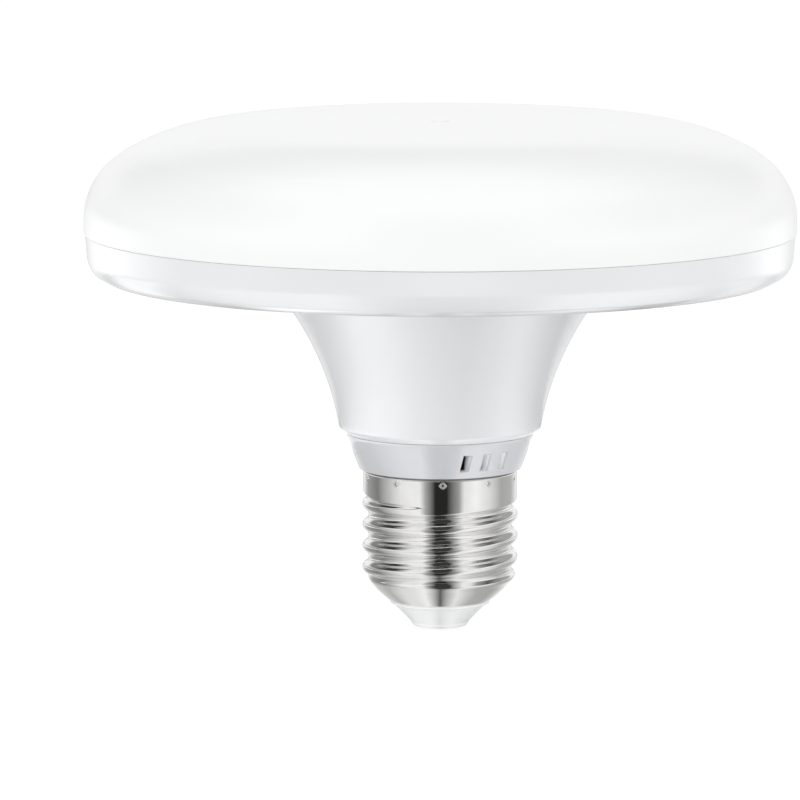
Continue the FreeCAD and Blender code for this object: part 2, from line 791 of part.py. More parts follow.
def make_coil():
    """Drum core standing off the board's back, and the winding on its spindle."""
    rest = "driver_face + seat_gap"
    level = "driver_top - coil_drop"
    core = turned("inductor_core", [
        ("0", "0"),
        ("coil_flange_radius", "0"),
        ("coil_flange_radius", "coil_flange"),
        ("coil_spindle_radius", "coil_flange"),
        ("coil_spindle_radius", "coil_height - coil_flange"),
        ("coil_flange_radius", "coil_height - coil_flange"),
        ("coil_flange_radius", "coil_height"),
        ("0", "coil_height"),
    ])
    winding = turned("inductor_winding", rectangle(
        "coil_spindle_radius + coil_gap", "coil_flange + coil_gap",
        "coil_flange_radius - coil_flange / 2", "coil_height - coil_flange - coil_gap"))
    for body in (core, winding):
        body.Placement.Rotation = Rotation(V(1, 0, 0), -90)
        put(body, y=rest, z=level)
    return [core, winding]


def make_chip():
    """Driver chip flat on the board's back, with a row of leads on each side."""
    face = "driver_face"
    low = "driver_foot + chip_rise"
    body = block("driver_ic_case", ("chip_width", "chip_depth", "chip_height"),
                 ("0 - chip_width / 2", face, low))
    leads = []
    for left in ("chip_width / 2", "0 - chip_width / 2 - chip_lead_reach"):
        for i in range(int(size("chip_lead_count"))):
            middle = f"{low} + chip_height * (2 * {i} + 1) / (2 * chip_lead_count)"
            lead = block(f"driver_ic_lead_{len(leads) + 1}",
                         ("chip_lead_reach", "chip_lead_height", "chip_lead_width"),
                         (left, face, f"{middle} - chip_lead_width / 2"))
            leads.append(lead)
    chip = doc.addObject("Part::MultiFuse", "driver_ic")
    chip.Shapes = [body] + leads
    return chip


def rod(label, radius, length, axis, angle, place):
    """A cylinder turned to lie along another axis."""
    cylinder = doc.addObject("Part::Cylinder", label)
    bind(cylinder, Radius=radius, Height=length)
    cylinder.Placement.Rotation = Rotation(axis, angle)
    return put(cylinder, *place)


def make_small_parts():
    """The other parts soldered to the driver board."""
    front = "0 - driver_face - seat_gap"
    return [
        block("input_capacitor", ("film_width", "film_depth", "film_height"),
              ("0 - film_width / 2", "0 - driver_face - film_depth", "film_level")),
        block("bridge_rectifier", ("bridge_width", "bridge_depth", "bridge_height"),
              ("0 - bridge_width / 2", "driver_face", "driver_foot + bridge_rise")),
        rod("fuse_resistor", "fuse_radius", "fuse_length", V(0, 1, 0), 90,
            ("0 - fuse_length / 2", f"{front} - fuse_radius", "driver_foot + fuse_rise")),
        rod("varistor", "varistor_radius", "varistor_thickness", V(0, 1, 0), 90,
            ("driver_half_width - varistor_inset - varistor_thickness / 2",
             f"{front} - varistor_radius", "driver_top - varistor_drop")),
    ]


def bent_wire(label, points):
    """A round wire of straight runs joined by tangent arcs through a list of points."""
    bend = size("wire_bend")
    edges = []
    start = points[0]
    for before, corner, after in zip(points, points[1:], points[2:]):
        back = (before - corner).normalize()
        ahead = (after - corner).normalize()
        half = back.getAngle(ahead) / 2
        shorter = min((before - corner).Length, (after - corner).Length)
        trim = min(bend / math.tan(half), BEND_SHARE * shorter)
        inward = (back + ahead).normalize()
        radius = trim * math.tan(half)
        first, last = corner + back * trim, corner + ahead * trim
        middle = corner + inward * (radius / math.sin(half) - radius)
        edges.append(Part.LineSegment(start, first).toShape())
        edges.append(Part.Arc(first, middle, last).toShape())
        start = last
    edges.append(Part.LineSegment(start, points[-1]).toShape())
    path = Part.Wire(edges)
    section = Part.Wire([Part.makeCircle(size("wire_radius"), points[0], points[1] - points[0])])
    shape = path.makePipeShell([section], True, True)
    expected = math.pi * size("wire_radius") ** 2 * path.Length
    if abs(shape.Volume - expected) > VOLUME_TOLERANCE * expected:
        raise RuntimeError(f"{label} holds {shape.Volume:.2f} and not {expected:.2f} mm3")
    wire = doc.addObject("Part::Feature", label)
    wire.Shape = shape
    return wire


def make_wires():
    """Wires from the driver board to the light board, to the centre contact and to the shell."""
    line = size("wire_line")
    board_top, board_foot = size("driver_top"), size("driver_foot")
    overlap = size("wire_overlap")
    plug_level = size("plug_level")
    plug_face = size("terminal_offset - wire_hole_offset")
    hole_line = -size("wire_hole_offset")
    wires = []
    for name, side in (("positive", 1), ("negative", -1)):
        across = side * size("wire_pitch / 2")
        top = board_top + size("wire_bend")
        wires.append(bent_wire(f"dc_wire_{name}", [
            V(across, -line, board_top - overlap),
            V(across, -line, top),
            V(across, hole_line, top + size("wire_climb")),
            V(across, hole_line, plug_level),
            V(across, plug_face, plug_level),
        ]))
    stem_top = size("contact_stand + contact_stem_length")
    cup_top = size("shell_foot + insulator_spigot")
    live = size("live_offset")
    wires.append(bent_wire("live_wire", [
        V(live, -line, board_foot + overlap),
        V(live, -line, board_foot - size("wire_bend")),
        V(0, 0, cup_top),
        V(0, 0, stem_top),
    ]))
    neutral = -size("neutral_offset")
    wall = size("thread_bore - seat_gap")
    wall_level = board_foot - size("wire_bend")
    wires.append(bent_wire("neutral_wire", [
        V(neutral, line, board_foot + overlap),
        V(neutral, line, wall_level),
        V(-wall, line, wall_level),
    ]))
    return wires


def write_parts(parts):
    """Check every object of the document, then write one file for each piece."""
    doc.recompute()
    for thing in doc.Objects:
        if "Invalid" in thing.State or "Error" in thing.State:
            raise RuntimeError(f"{thing.Label} failed: {thing.State}")
    for part in parts:
        if part.Shape.isNull() or not part.Shape.isValid():
            raise RuntimeError(f"{part.Label} has no valid shape")
    os.makedirs("parts", exist_ok=True)
    for part in parts:
        part.Shape.exportStep(os.path.join("parts", f"{part.Label}.step"))
    print(len(parts), "pieces,", sum(len(part.Shape.Solids) for part in parts), "solids")


write_parts([
    make_diffuser(),
    make_housing(),
    make_holder(),
    make_screw_shell(),
    make_insulator(),
    make_centre_contact(),
    make_heat_spreader(),
    make_light_board(),
    make_screws(),
    *make_leds(),
    make_terminal(),
    make_driver_board(),
    make_bulk_capacitor(),
    *make_coil(),
    make_chip(),
    *make_small_parts(),
    *make_wires(),
])
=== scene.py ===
# %% [markdown]
# # Dressing a wide, flat LED lamp for the camera
#
# The lamp is a white disc: an opal cover over a shallow pan, a flared neck, a vented collar
# and a nickel screw cap. The frame holds every piece at its real size. This script gives each
# piece its finish, and remakes the pieces whose surface needs more than the frame's triangles.
# The frame is loaded first, because every other number is read from it.

import math

import bmesh
import bpy
from mathutils import Matrix, Vector


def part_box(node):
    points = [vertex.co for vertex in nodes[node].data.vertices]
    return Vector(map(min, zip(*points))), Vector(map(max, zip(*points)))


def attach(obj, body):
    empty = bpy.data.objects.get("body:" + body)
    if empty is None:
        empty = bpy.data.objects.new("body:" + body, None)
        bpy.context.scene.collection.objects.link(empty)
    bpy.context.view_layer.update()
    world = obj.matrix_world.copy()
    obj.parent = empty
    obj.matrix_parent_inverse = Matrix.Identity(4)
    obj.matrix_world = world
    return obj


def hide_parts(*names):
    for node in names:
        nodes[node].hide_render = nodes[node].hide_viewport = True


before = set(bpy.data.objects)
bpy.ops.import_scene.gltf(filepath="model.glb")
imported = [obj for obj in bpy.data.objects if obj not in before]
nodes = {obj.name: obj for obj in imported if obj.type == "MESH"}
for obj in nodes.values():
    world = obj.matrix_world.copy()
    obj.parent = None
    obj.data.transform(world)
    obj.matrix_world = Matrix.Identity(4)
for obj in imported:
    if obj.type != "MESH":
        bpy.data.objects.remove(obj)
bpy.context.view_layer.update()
MM = 0.001
print("pieces in the frame:", len(nodes))

# %% [markdown]
# ## Camera
#
# The photograph was taken with a long lens, a little above the lamp. A long lens far away
# keeps the disc's ellipse flat, as it is there. The camera comes first, so that every later
# piece can be judged through it.

# %% Camera
EYE = Vector((-6.78, -1000.0, 177.6)) * MM
LOOKS_AT = Vector((-6.78, 0.0, 38.84)) * MM
LENS = 268.7
SENSOR = 36.0


def make_camera():
    """A long lens at the photograph's viewing angle."""
    data = bpy.data.cameras.new("camera")
    data.lens = LENS
    data.sensor_width = SENSOR
    camera = bpy.data.objects.new("camera", data)
    camera.location = EYE
    camera.rotation_euler = (LOOKS_AT - EYE).to_track_quat("-Z", "Y").to_euler()
    bpy.context.scene.collection.objects.link(camera)
    bpy.context.scene.camera = camera


make_camera()
bpy.context.scene.view_settings.view_transform = "Standard"

# %% [markdown]
# ## Shader maths as Python
#
# A node tree is a sum written with boxes and wires. Wrapping a socket in a small class lets
# the sum be written as a sum: adding two signals adds a Math node. Every other node comes
# from one method, which takes the node's settings first and then its inputs.

# %% Signals and node trees


class Signal:
    """An output socket that takes part in sums. Each operation adds a Math node."""

    def __init__(self, tree, socket):
        self.tree = tree
        self.socket = socket

    def joined(self, operation, *others):
        """A Math node of this signal and others."""
        inputs = dict(enumerate((self, *others)))
        return self.tree.node("ShaderNodeMath", {"operation": operation}, inputs)

    def __add__(self, other):
        return self.joined("ADD", other)

    def __mul__(self, other):
        return self.joined("MULTIPLY", other)

    def __sub__(self, other):
        return self.joined("SUBTRACT", other)

    def __truediv__(self, other):
        return self.joined("DIVIDE", other)

    def __rsub__(self, other):
        return (self * -1.0) + other

    def between(self, low, high):
        """0 below low, 1 above high, and a smooth ramp from one to the other. High may be the lower."""
        settings = {"interpolation_type": "SMOOTHSTEP", "clamp": True}
        return self.tree.node("ShaderNodeMapRange", settings,
                              {"Value": self, "From Min": low, "From Max": high})


class Tree:
    """A node tree in the making."""

    def __init__(self, node_tree):
        self.nodes = node_tree.nodes
        self.links = node_tree.links

    def node(self, kind, settings=None, inputs=None, out=0):
        """Add a node, set it up, then feed its sockets with values or signals."""
        made = self.nodes.new(kind)
        for name, value in (settings or {}).items():
            if name == "stops":
                for stop in list(made.color_ramp.elements)[1:]:
                    made.color_ramp.elements.remove(stop)
                made.color_ramp.elements[0].position = value[0][0]
                made.color_ramp.elements[0].color = value[0][1]
                for position, colour in value[1:]:
                    made.color_ramp.elements.new(position).color = colour
            else:
                setattr(made, name, value)
        for name, value in (inputs or {}).items():
            self.feed(made.inputs[name], value)
        return Signal(self, made.outputs[out])

    def feed(self, socket, value):
        """Link a signal to a socket, or set the socket's own value."""
        if isinstance(value, Signal):
            self.links.new(value.socket, socket)
        else:
            socket.default_value = value

    def blend(self, share, first, second):
        """A colour between two others."""
        return self.node("ShaderNodeMix", {"data_type": "RGBA"}, {0: share, 6: first, 7: second}, out=2)


class Finish(Tree):
    """A material with one Principled shader, and its patterns in millimetres on the object."""

    def __init__(self, name, colour, **constants):
        self.material = bpy.data.materials.new(name)
        self.material.use_nodes = True
        super().__init__(self.material.node_tree)
        self.shader = self.nodes["Principled BSDF"]
        self.colour = (*colour, 1.0)
        self.shader.inputs["Base Color"].default_value = self.colour
        for setting, value in constants.items():
            socket = setting.replace("_", " ").title().replace("Ior", "IOR")
            self.shader.inputs[socket].default_value = value
        here = self.node("ShaderNodeTexCoord", out="Object")
        self.place = self.node("ShaderNodeVectorMath", {"operation": "SCALE"},
                               {0: here, "Scale": 1.0 / MM})

    def axis(self, name):
        """One coordinate in millimetres."""
        return self.node("ShaderNodeSeparateXYZ", None, {0: self.place}, out=name)

    def from_axis(self):
        """The distance from the lamp's axis in millimetres."""
        flat = self.node("ShaderNodeVectorMath", {"operation": "MULTIPLY"},
                         {0: self.place, 1: (1.0, 1.0, 0.0)})
        return self.node("ShaderNodeVectorMath", {"operation": "LENGTH"}, {0: flat}, out="Value")

    def noise(self, size, detail=2.0, place=None):
        """Smooth random marks of about a given size in millimetres."""
        return self.node("ShaderNodeTexNoise", None, {
            "Vector": place or self.place, "Scale": 1.0 / size, "Detail": detail})

    def tint(self, share, colour):
        """Blend the base colour towards another. A second tint lies over the first."""
        self.colour = self.blend(share, self.colour, (*colour, 1.0))
        self.feed(self.shader.inputs["Base Color"], self.colour)

    def roughen(self, low, high, share):
        """Let the roughness wander between two values."""
        self.feed(self.shader.inputs["Roughness"], share * (high - low) + low)

    def emboss(self, height, depth):
        """Raise the surface by a pattern, up to a depth in millimetres."""
        bump = self.node("ShaderNodeBump", None,
                         {"Height": height, "Distance": depth * MM, "Strength": 1.0})
        self.links.new(bump.socket, self.shader.inputs["Normal"])

    def paint(self, *names):
        """Put this finish on nodes of the frame."""
        for name in names:
            nodes[name].data.materials.clear()
            nodes[name].data.materials.append(self.material)


# %% [markdown]
# ## Sections and spun shapes
#
# Nearly every piece of this lamp is turned about one axis. Its section is a closed line of
# points, with arcs where the mould has arcs. Spin carries it round, and a bevel on a ring of
# edges rounds a corner as a mould does.

# %% Sections and surfaces of revolution
CLOSE = 1e-3


def arc(centre, radius, start, end, steps=5):
    """Points on an arc in a section, as (distance from the axis, height). Angles in degrees."""
    points = []
    for i in range(steps + 1):
        angle = math.radians(start + (end - start) * i / steps)
        points.append((centre[0] + radius * math.cos(angle), centre[1] + radius * math.sin(angle)))
    return points


def spun(section, steps, closed=True):
    """A bmesh of a section in millimetres, spun round the Z axis."""
    bm = bmesh.new()
    line = [bm.verts.new((across * MM, 0.0, up * MM)) for across, up in section]
    ring = zip(line, line[1:] + line[:1]) if closed else zip(line, line[1:])
    edges = [bm.edges.new(pair) for pair in ring]
    bmesh.ops.spin(bm, geom=line + edges, cent=(0, 0, 0), axis=(0, 0, 1), angle=2 * math.pi,
                   steps=steps, use_merge=True)
    bmesh.ops.remove_doubles(bm, verts=bm.verts, dist=CLOSE * MM)
    bmesh.ops.recalc_face_normals(bm, faces=bm.faces)
    return bm


def azimuth_of(point):
    """A point's angle round the axis, from the front towards the right."""
    return math.atan2(point.x, -point.y)


def set_radius(vert, radius):
    """Move a vertex in or out to a distance from the axis, in millimetres."""
    scale = radius * MM / math.hypot(vert.co.x, vert.co.y)
    vert.co.x *= scale
    vert.co.y *= scale


def bowed(start, end, bow, steps):
    """Points on an arc that stands off the chord of two points by bow, away from the axis if positive."""
    across, up = end[0] - start[0], end[1] - start[1]
    chord = math.hypot(across, up)
    radius = (chord ** 2 / 4 + bow ** 2) / (2 * bow)
    half = math.asin(chord / 2 / radius)
    points = []
    for i in range(steps + 1):
        turn = half * (2 * i / steps - 1)
        along = 0.5 + math.sin(turn) / math.sin(half) / 2
        off = radius * (math.cos(turn) - math.cos(half)) / chord
        points.append((start[0] + across * along + up * off, start[1] + up * along - across * off))
    return points


def soften(bm, corner, width, segments=4):
    """Round the ring of edges at one corner of a spun section."""
    def on_ring(vert):
        away = abs(math.hypot(*vert.co.xy) / MM - corner[0]) + abs(vert.co.z / MM - corner[1])
        return away < CLOSE
    ring = [edge for edge in bm.edges if all(on_ring(vert) for vert in edge.verts)]
    bmesh.ops.bevel(bm, geom=ring, offset=width * MM, segments=segments, profile=0.5, affect="EDGES",
                    material=-1)


def piece(name, bm, finish, replaced=(), sharp=35.0):
    """Turn a bmesh into a finished piece that rides with the lamp."""
    mesh = bpy.data.meshes.new(name)
    for face in bm.faces:
        face.smooth = True
    bm.to_mesh(mesh)
    bm.free()
    mesh.set_sharp_from_angle(angle=math.radians(sharp))
    made = bpy.data.objects.new(name, mesh)
    bpy.context.scene.collection.objects.link(made)
    mesh.materials.append(finish.material)
    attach(made, "root")
    if replaced:
        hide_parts(*replaced)
    print(name, "has", len(mesh.polygons), "faces")


# %% [markdown]
# ## White plastics
#
# Moulded plastic is never one flat white. It has a fine grain from the mould, its gloss wanders,
# and its colour drifts a little where it flowed. Each effect is kept faint, because the photograph
# shows clean new parts. Over it lies a clear, strong gloss that mirrors the studio in soft stripes.
# The insulator glows faintly, in place of the light that such a small white piece lets through.

# %% White plastics
FLOW_SIZE = 30.0
FLOW_SHADE = 0.992
GLOSS_SIZE = 6.0
GLOSS_SPREAD = (-0.04, 0.05)
GRAIN_SIZE = 0.25
GRAIN_DEPTH = 0.0015


def moulded(name, colour, gloss, **coat):
    """White moulded plastic: slight flow shade, wandering gloss and a fine grain under a clear gloss."""
    finish = Finish(name, colour, **coat)
    flow = finish.noise(FLOW_SIZE, 1.0)
    finish.tint(flow.between(0.2, 0.8), tuple(c * FLOW_SHADE for c in colour))
    finish.roughen(gloss + GLOSS_SPREAD[0], gloss + GLOSS_SPREAD[1], finish.noise(GLOSS_SIZE))
    finish.emboss(finish.noise(GRAIN_SIZE), GRAIN_DEPTH)
    return finish


opal = moulded("opal_diffuser", (0.935, 0.933, 0.922), 0.38,
               coat_weight=0.5, coat_roughness=0.22, coat_ior=1.5)
housing_white = moulded("white_housing", (0.86, 0.863, 0.872), 0.32,
                        coat_weight=1.0, coat_roughness=0.17, coat_ior=2.1)
# The collar's emission strength lights only the painted glow on its vents' walls.
collar_white = moulded("white_collar", (0.72, 0.722, 0.745), 0.30,
                       coat_weight=1.0, coat_roughness=0.10, coat_ior=2.2, emission_strength=1.0)
insulator_white = moulded("white_insulator", (0.99, 0.99, 0.99), 0.36,
                          coat_weight=1.0, coat_roughness=0.2, coat_ior=2.0,
                          emission_color=(1.0, 1.0, 1.0, 1.0), emission_strength=0.08)
insulator_white.paint("insulator")

# %% [markdown]
# ## Diffuser
#
# The opal cover is one moulding: a flat crown with the moulding gate's mark in the middle, a
# wide shoulder, a tighter side, and a lip that drops inside the pan. The shoulder and the side
# are tangent arcs, so that reflections run over them without a break.

# %% Diffuser
LID_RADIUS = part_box("diffuser")[1].x / MM
LID_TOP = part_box("diffuser")[1].z / MM
LIP_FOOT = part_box("diffuser")[0].z / MM
LIP_HEIGHT = 2.95
LID_FOOT = LIP_FOOT + LIP_HEIGHT
LID_WALL = 1.5
LID_UPRIGHT = 2.2
LID_EDGE = 0.14
SIDE_ARC = 12.4
SIDE_ANGLE = 59.0
SIDE_STEPS = 18
SHOULDER_ARC = 38.5
SHOULDER_STEPS = 22
LIP_INSET = 2.25
LIP_LEDGE = 1.1
CROWN_HOLD = 0.6
GATE_RADIUS = 1.6
GATE_DEPTH = 0.16
NUB_RADIUS = 0.5
NUB_HEIGHT = 0.12
WHITE_STEPS = 256


def lid_line(wall):
    """The cover's line from its upright side to its crown, at a depth under its outer face."""
    side = (LID_RADIUS - SIDE_ARC, LID_FOOT + LID_UPRIGHT)
    turn = math.radians(SIDE_ANGLE)
    crown = side[0] + (SIDE_ARC - SHOULDER_ARC) * math.cos(turn)
    line = arc(side, SIDE_ARC - wall, 0, SIDE_ANGLE, SIDE_STEPS)
    shoulder = (crown, LID_TOP - SHOULDER_ARC)
    line += arc(shoulder, SHOULDER_ARC - wall, SIDE_ANGLE, 90, SHOULDER_STEPS)[1:]
    return line


def make_diffuser():
    """The opal cover, with the gate's mark in its crown."""
    bed = LID_TOP - GATE_DEPTH
    outer = lid_line(0)
    section = [(LID_RADIUS, LID_FOOT)] + outer + [(outer[-1][0] - CROWN_HOLD, LID_TOP)]
    section += [(GATE_RADIUS, LID_TOP), (GATE_RADIUS - GATE_DEPTH, bed), (NUB_RADIUS, bed)]
    section += [(NUB_RADIUS, bed + NUB_HEIGHT), (0, bed + NUB_HEIGHT), (0, LID_TOP - LID_WALL)]
    section += reversed(lid_line(LID_WALL))
    lip = LID_RADIUS - LIP_INSET
    ledge = LID_FOOT + LIP_LEDGE
    section += [(LID_RADIUS - LID_WALL, ledge), (lip - LID_WALL, ledge), (lip - LID_WALL, LIP_FOOT)]
    section += [(lip, LIP_FOOT), (lip, LID_FOOT)]
    bm = spun(section, WHITE_STEPS)
    soften(bm, (LID_RADIUS, LID_FOOT), LID_EDGE)
    piece("opal_cover", bm, opal, ["diffuser"], sharp=40.0)


make_diffuser()

# %% [markdown]
# ## Housing
#
# The pan and the flared neck are one moulding. The neck's side is a long hollow arc, and its
# foot is a chamfered lip over the collar. The chamfer is drawn paler, because it catches light
# from below. The pan's wall leans out a little, so that it leaves the mould, and turns under in
# a round edge that ends in a small facet.

# %% Housing
PAN_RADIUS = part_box("housing")[1].x / MM
PAN_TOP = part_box("housing")[1].z / MM
PAN_HEIGHT = 7.6
PAN_FOOT = PAN_TOP - PAN_HEIGHT
PAN_DRAFT = 0.3
PAN_ROUND = 0.12
PAN_EDGE = 4.5
PAN_EDGE_STEPS = 10
PAN_FLOOR = 2.1
PAN_CREASE = -44.0
PAN_FACET_HEIGHT = 0.95
PAN_FACET = math.radians(62.0)
HOUSING_WALL = 1.6
NECK_DROP = 0.08
NECK_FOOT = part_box("housing")[0].z / MM - NECK_DROP
LIP_CHAMFER = (1.15, 0.9)
NECK_LIP = (17.05, NECK_FOOT + LIP_CHAMFER[1])
LIP_ROUND = 0.25
CHAMFER_ROUND = 0.15
LIP_PALE = (1.0, 1.0, 1.0)
LIP_FADE = (NECK_LIP[1] + 0.1, NECK_LIP[1] - 0.1)
NECK_MOUTH = (29.6, PAN_FOOT)
MOUTH_ROUND = 2.0
MOUTH_SEGMENTS = 6
NECK_BOW = 2.05
NECK_STEPS = 24
SOCKET_TOP = NECK_FOOT + 5.48
BORE_INSETS = (0.6, 0.85)
BORE_STEPS = 16


def make_housing():
    """Pan and neck in one."""
    foot_radius = PAN_RADIUS - PAN_DRAFT
    bore = PAN_RADIUS - HOUSING_WALL - PAN_DRAFT
    socket = NECK_LIP[0] - HOUSING_WALL
    floor = PAN_FOOT + PAN_FLOOR
    chamfer_foot = (NECK_LIP[0] - LIP_CHAMFER[0], NECK_FOOT)
    section = [chamfer_foot] + bowed(NECK_LIP, NECK_MOUTH, -NECK_BOW, NECK_STEPS)
    middle = PAN_FOOT + PAN_FACET_HEIGHT - PAN_EDGE * math.sin(math.radians(PAN_CREASE))
    turned = arc((foot_radius - PAN_EDGE, middle), PAN_EDGE, PAN_CREASE, 0, PAN_EDGE_STEPS)
    crease = turned[0]
    section += [(crease[0] - PAN_FACET_HEIGHT * math.tan(PAN_FACET), PAN_FOOT)] + turned
    section += [(PAN_RADIUS, PAN_TOP), (bore, PAN_TOP), (bore, floor)]
    bore_mouth = (NECK_MOUTH[0] - BORE_INSETS[0], floor)
    bore_foot = (NECK_LIP[0] - BORE_INSETS[1], SOCKET_TOP)
    section += bowed(bore_mouth, bore_foot, NECK_BOW, BORE_STEPS)
    section += [(socket, SOCKET_TOP), (socket, NECK_FOOT)]
    bm = spun(section, WHITE_STEPS)
    soften(bm, NECK_LIP, LIP_ROUND)
    soften(bm, chamfer_foot, CHAMFER_ROUND)
    soften(bm, NECK_MOUTH, MOUTH_ROUND, MOUTH_SEGMENTS)
    soften(bm, (PAN_RADIUS, PAN_TOP), PAN_ROUND)
    soften(bm, crease, PAN_ROUND)
    piece("white_pan", bm, housing_white, ["housing"], sharp=40.0)


housing_white.tint(housing_white.axis("Z").between(*LIP_FADE), LIP_PALE)
make_housing()

# %% [markdown]
# ## Vented collar
#
# The collar leans out towards the neck and has three upright vents on each side. They go right
# through a thick wall, so that only the first one shows the dark inside. Four planes cut each
# vent's outline into the wall, the faces inside it are deleted, and bridges make its sides.
# Four rails inside hold the driver board. The vents' walls get painted light, a paler colour and a
# faint glow, and the tail is painted dark as painted shadow in the gap to the cap.

# %% Collar
TAIL_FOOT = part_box("driver_holder")[0].z / MM
HEAD_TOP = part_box("driver_holder")[1].z / MM
COLLAR_FOOT = (13.6, TAIL_FOOT + 2.9)
COLLAR_TOP = (15.8, COLLAR_FOOT[1] + 6.1)
COLLAR_LEAN = (COLLAR_TOP[0] - COLLAR_FOOT[0]) / (COLLAR_TOP[1] - COLLAR_FOOT[1])
COLLAR_BOW = 0.12
COLLAR_ROWS = 12
COLLAR_ROUND = 0.10
TAIL_RADIUS = 12.5
HOLDER_BORE = 11.4
HEAD_RADIUS = 15.3
HOLDER_WALL = 1.1
VENTS = 3
FIRST_VENT = math.radians(16.9)
VENT_STEP = math.radians(14.3)
VENT_WIDTH = 1.5
VENT_FOOT = COLLAR_FOOT[1] + 1.25
VENT_TOP = VENT_FOOT + 2.85
VENT_SLANT = 0.66
VENT_ROUND = 0.10
VENT_SIDE = 0.3
VENT_REACH = 1.5 * VENT_WIDTH
COLLAR_STEPS = 320
VENT_PALE = (0.15, 0.6)
VENT_WALL_PAINTED_LIGHT = (0.99, 0.99, 1.0)
VENT_WALL_PAINTED_GLOW = (0.12, 0.12, 0.123, 1.0)
VENT_DEEP = (HOLDER_BORE + 0.3, HOLDER_BORE + 1.2)
TAIL_PAINTED_SHADOW = (0.04, 0.04, 0.04)
TAIL_SHADOW_EDGE = (COLLAR_FOOT[1] + 0.09, COLLAR_FOOT[1] + 0.02)
RAIL_LENGTH = 1.6
RAIL_ROOT = HOLDER_BORE + HOLDER_WALL / 2
RAIL_GAP = 0.25
RAIL_WIDTH = 1.2


def shade_collar(finish):
    """Paint light onto the vents' walls as a paler colour and a faint painted glow, and paint shadow onto
    the tail below the collar.
    """
    skin = (finish.axis("Z") - COLLAR_FOOT[1]) * COLLAR_LEAN + COLLAR_FOOT[0]
    wall = (skin - finish.from_axis()).between(*VENT_PALE) * finish.from_axis().between(*VENT_DEEP)
    # Painted light: the vents' inner walls are tinted paler and given a faint emission, in place of the
    # shade inside them.
    finish.tint(wall, VENT_WALL_PAINTED_LIGHT)
    glow = finish.blend(wall, (0.0, 0.0, 0.0, 1.0), VENT_WALL_PAINTED_GLOW)
    finish.feed(finish.shader.inputs["Emission Color"], glow)
    # Painted shadow: the tail and the collar's lower edge, below the foot, are tinted near black.
    finish.tint(finish.axis("Z").between(*TAIL_SHADOW_EDGE), TAIL_PAINTED_SHADOW)


def vent_frame(azimuth):
    """The outward direction, the direction to the right and the lean of a vent's edges."""
    out = Vector((math.sin(azimuth), -math.cos(azimuth), 0.0))
    right = Vector((math.cos(azimuth), math.sin(azimuth), 0.0))
    spread = (VENT_TOP - VENT_FOOT) * COLLAR_LEAN * abs(math.sin(azimuth))
    lean = (VENT_SLANT - spread) / abs(math.cos(azimuth)) / (VENT_TOP - VENT_FOOT)
    return out, right, lean


def cut_vent(bm, azimuth):
    """Cut one vent through the collar's wall and round its outer edges."""
    out, right, lean = vent_frame(azimuth)
    middle = Vector((0.0, 0.0, (VENT_FOOT + VENT_TOP) / 2 * MM))
    side_normal = (right - Vector((0.0, 0.0, lean))).normalized()
    planes = [(middle + right * VENT_WIDTH / 2 * side * MM, side_normal) for side in (-1, 1)]
    planes += [(Vector((0.0, 0.0, level * MM)), Vector((0.0, 0.0, 1.0))) for level in (VENT_FOOT, VENT_TOP)]
    for point, normal in planes:
        near = [face for face in bm.faces
                if face.calc_center_median().normalized().dot(out) > VENT_SIDE
                and abs((face.calc_center_median() - middle).dot(right)) < VENT_REACH * MM]
        edges = {edge for face in near for edge in face.edges}
        verts = {vert for face in near for vert in face.verts}
        bmesh.ops.bisect_plane(bm, geom=[*verts, *edges, *near], plane_co=point, plane_no=normal,
                               dist=CLOSE * MM)
    inside = []
    for face in bm.faces:
        centre = face.calc_center_median()
        level = centre.z / MM
        across = (centre - middle).dot(side_normal) / MM
        half = VENT_WIDTH / 2 * right.dot(side_normal)
        if centre.dot(out) > 0 and VENT_FOOT < level < VENT_TOP and abs(across) < half:
            inside.append(face)
    bmesh.ops.delete(bm, geom=inside, context="FACES_ONLY")
    loose = [edge for edge in bm.edges if not edge.link_faces]
    bmesh.ops.delete(bm, geom=loose, context="EDGES")
    open_edges = [edge for edge in bm.edges if edge.is_boundary]
    mid_wall = (HOLDER_BORE + COLLAR_FOOT[0]) / 2
    outer = [edge for edge in open_edges
             if all(math.hypot(*vert.co.xy) / MM > mid_wall for vert in edge.verts)]
    for point, normal in planes:
        wall = [edge for edge in open_edges
                if all(abs((vert.co - point).dot(normal)) < 10 * CLOSE * MM for vert in edge.verts)]
        bmesh.ops.bridge_loops(bm, edges=wall)
    bmesh.ops.remove_doubles(bm, verts=bm.verts, dist=CLOSE * MM)
    outer = [edge for edge in outer if edge.is_valid]
    bmesh.ops.bevel(bm, geom=outer, offset=VENT_ROUND * MM, segments=2, profile=0.5, affect="EDGES",
                    material=-1)


def add_rails(bm):
    """The four rails inside the collar that hold the driver board on both sides."""
    board_low, board_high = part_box("driver_board")
    foot, top = TAIL_FOOT, COLLAR_TOP[1] - HOLDER_WALL
    shape = Matrix.Diagonal((RAIL_LENGTH * MM, RAIL_WIDTH * MM, (top - foot) * MM, 1.0))
    across = RAIL_ROOT - RAIL_LENGTH / 2
    for side in (-1, 1):
        for face, half in ((board_low.y / MM, -1), (board_high.y / MM, 1)):
            away = face + half * (RAIL_GAP + RAIL_WIDTH / 2)
            middle = Vector((side * across, away, (foot + top) / 2))
            bmesh.ops.create_cube(bm, size=1.0, matrix=Matrix.Translation(middle * MM) @ shape)


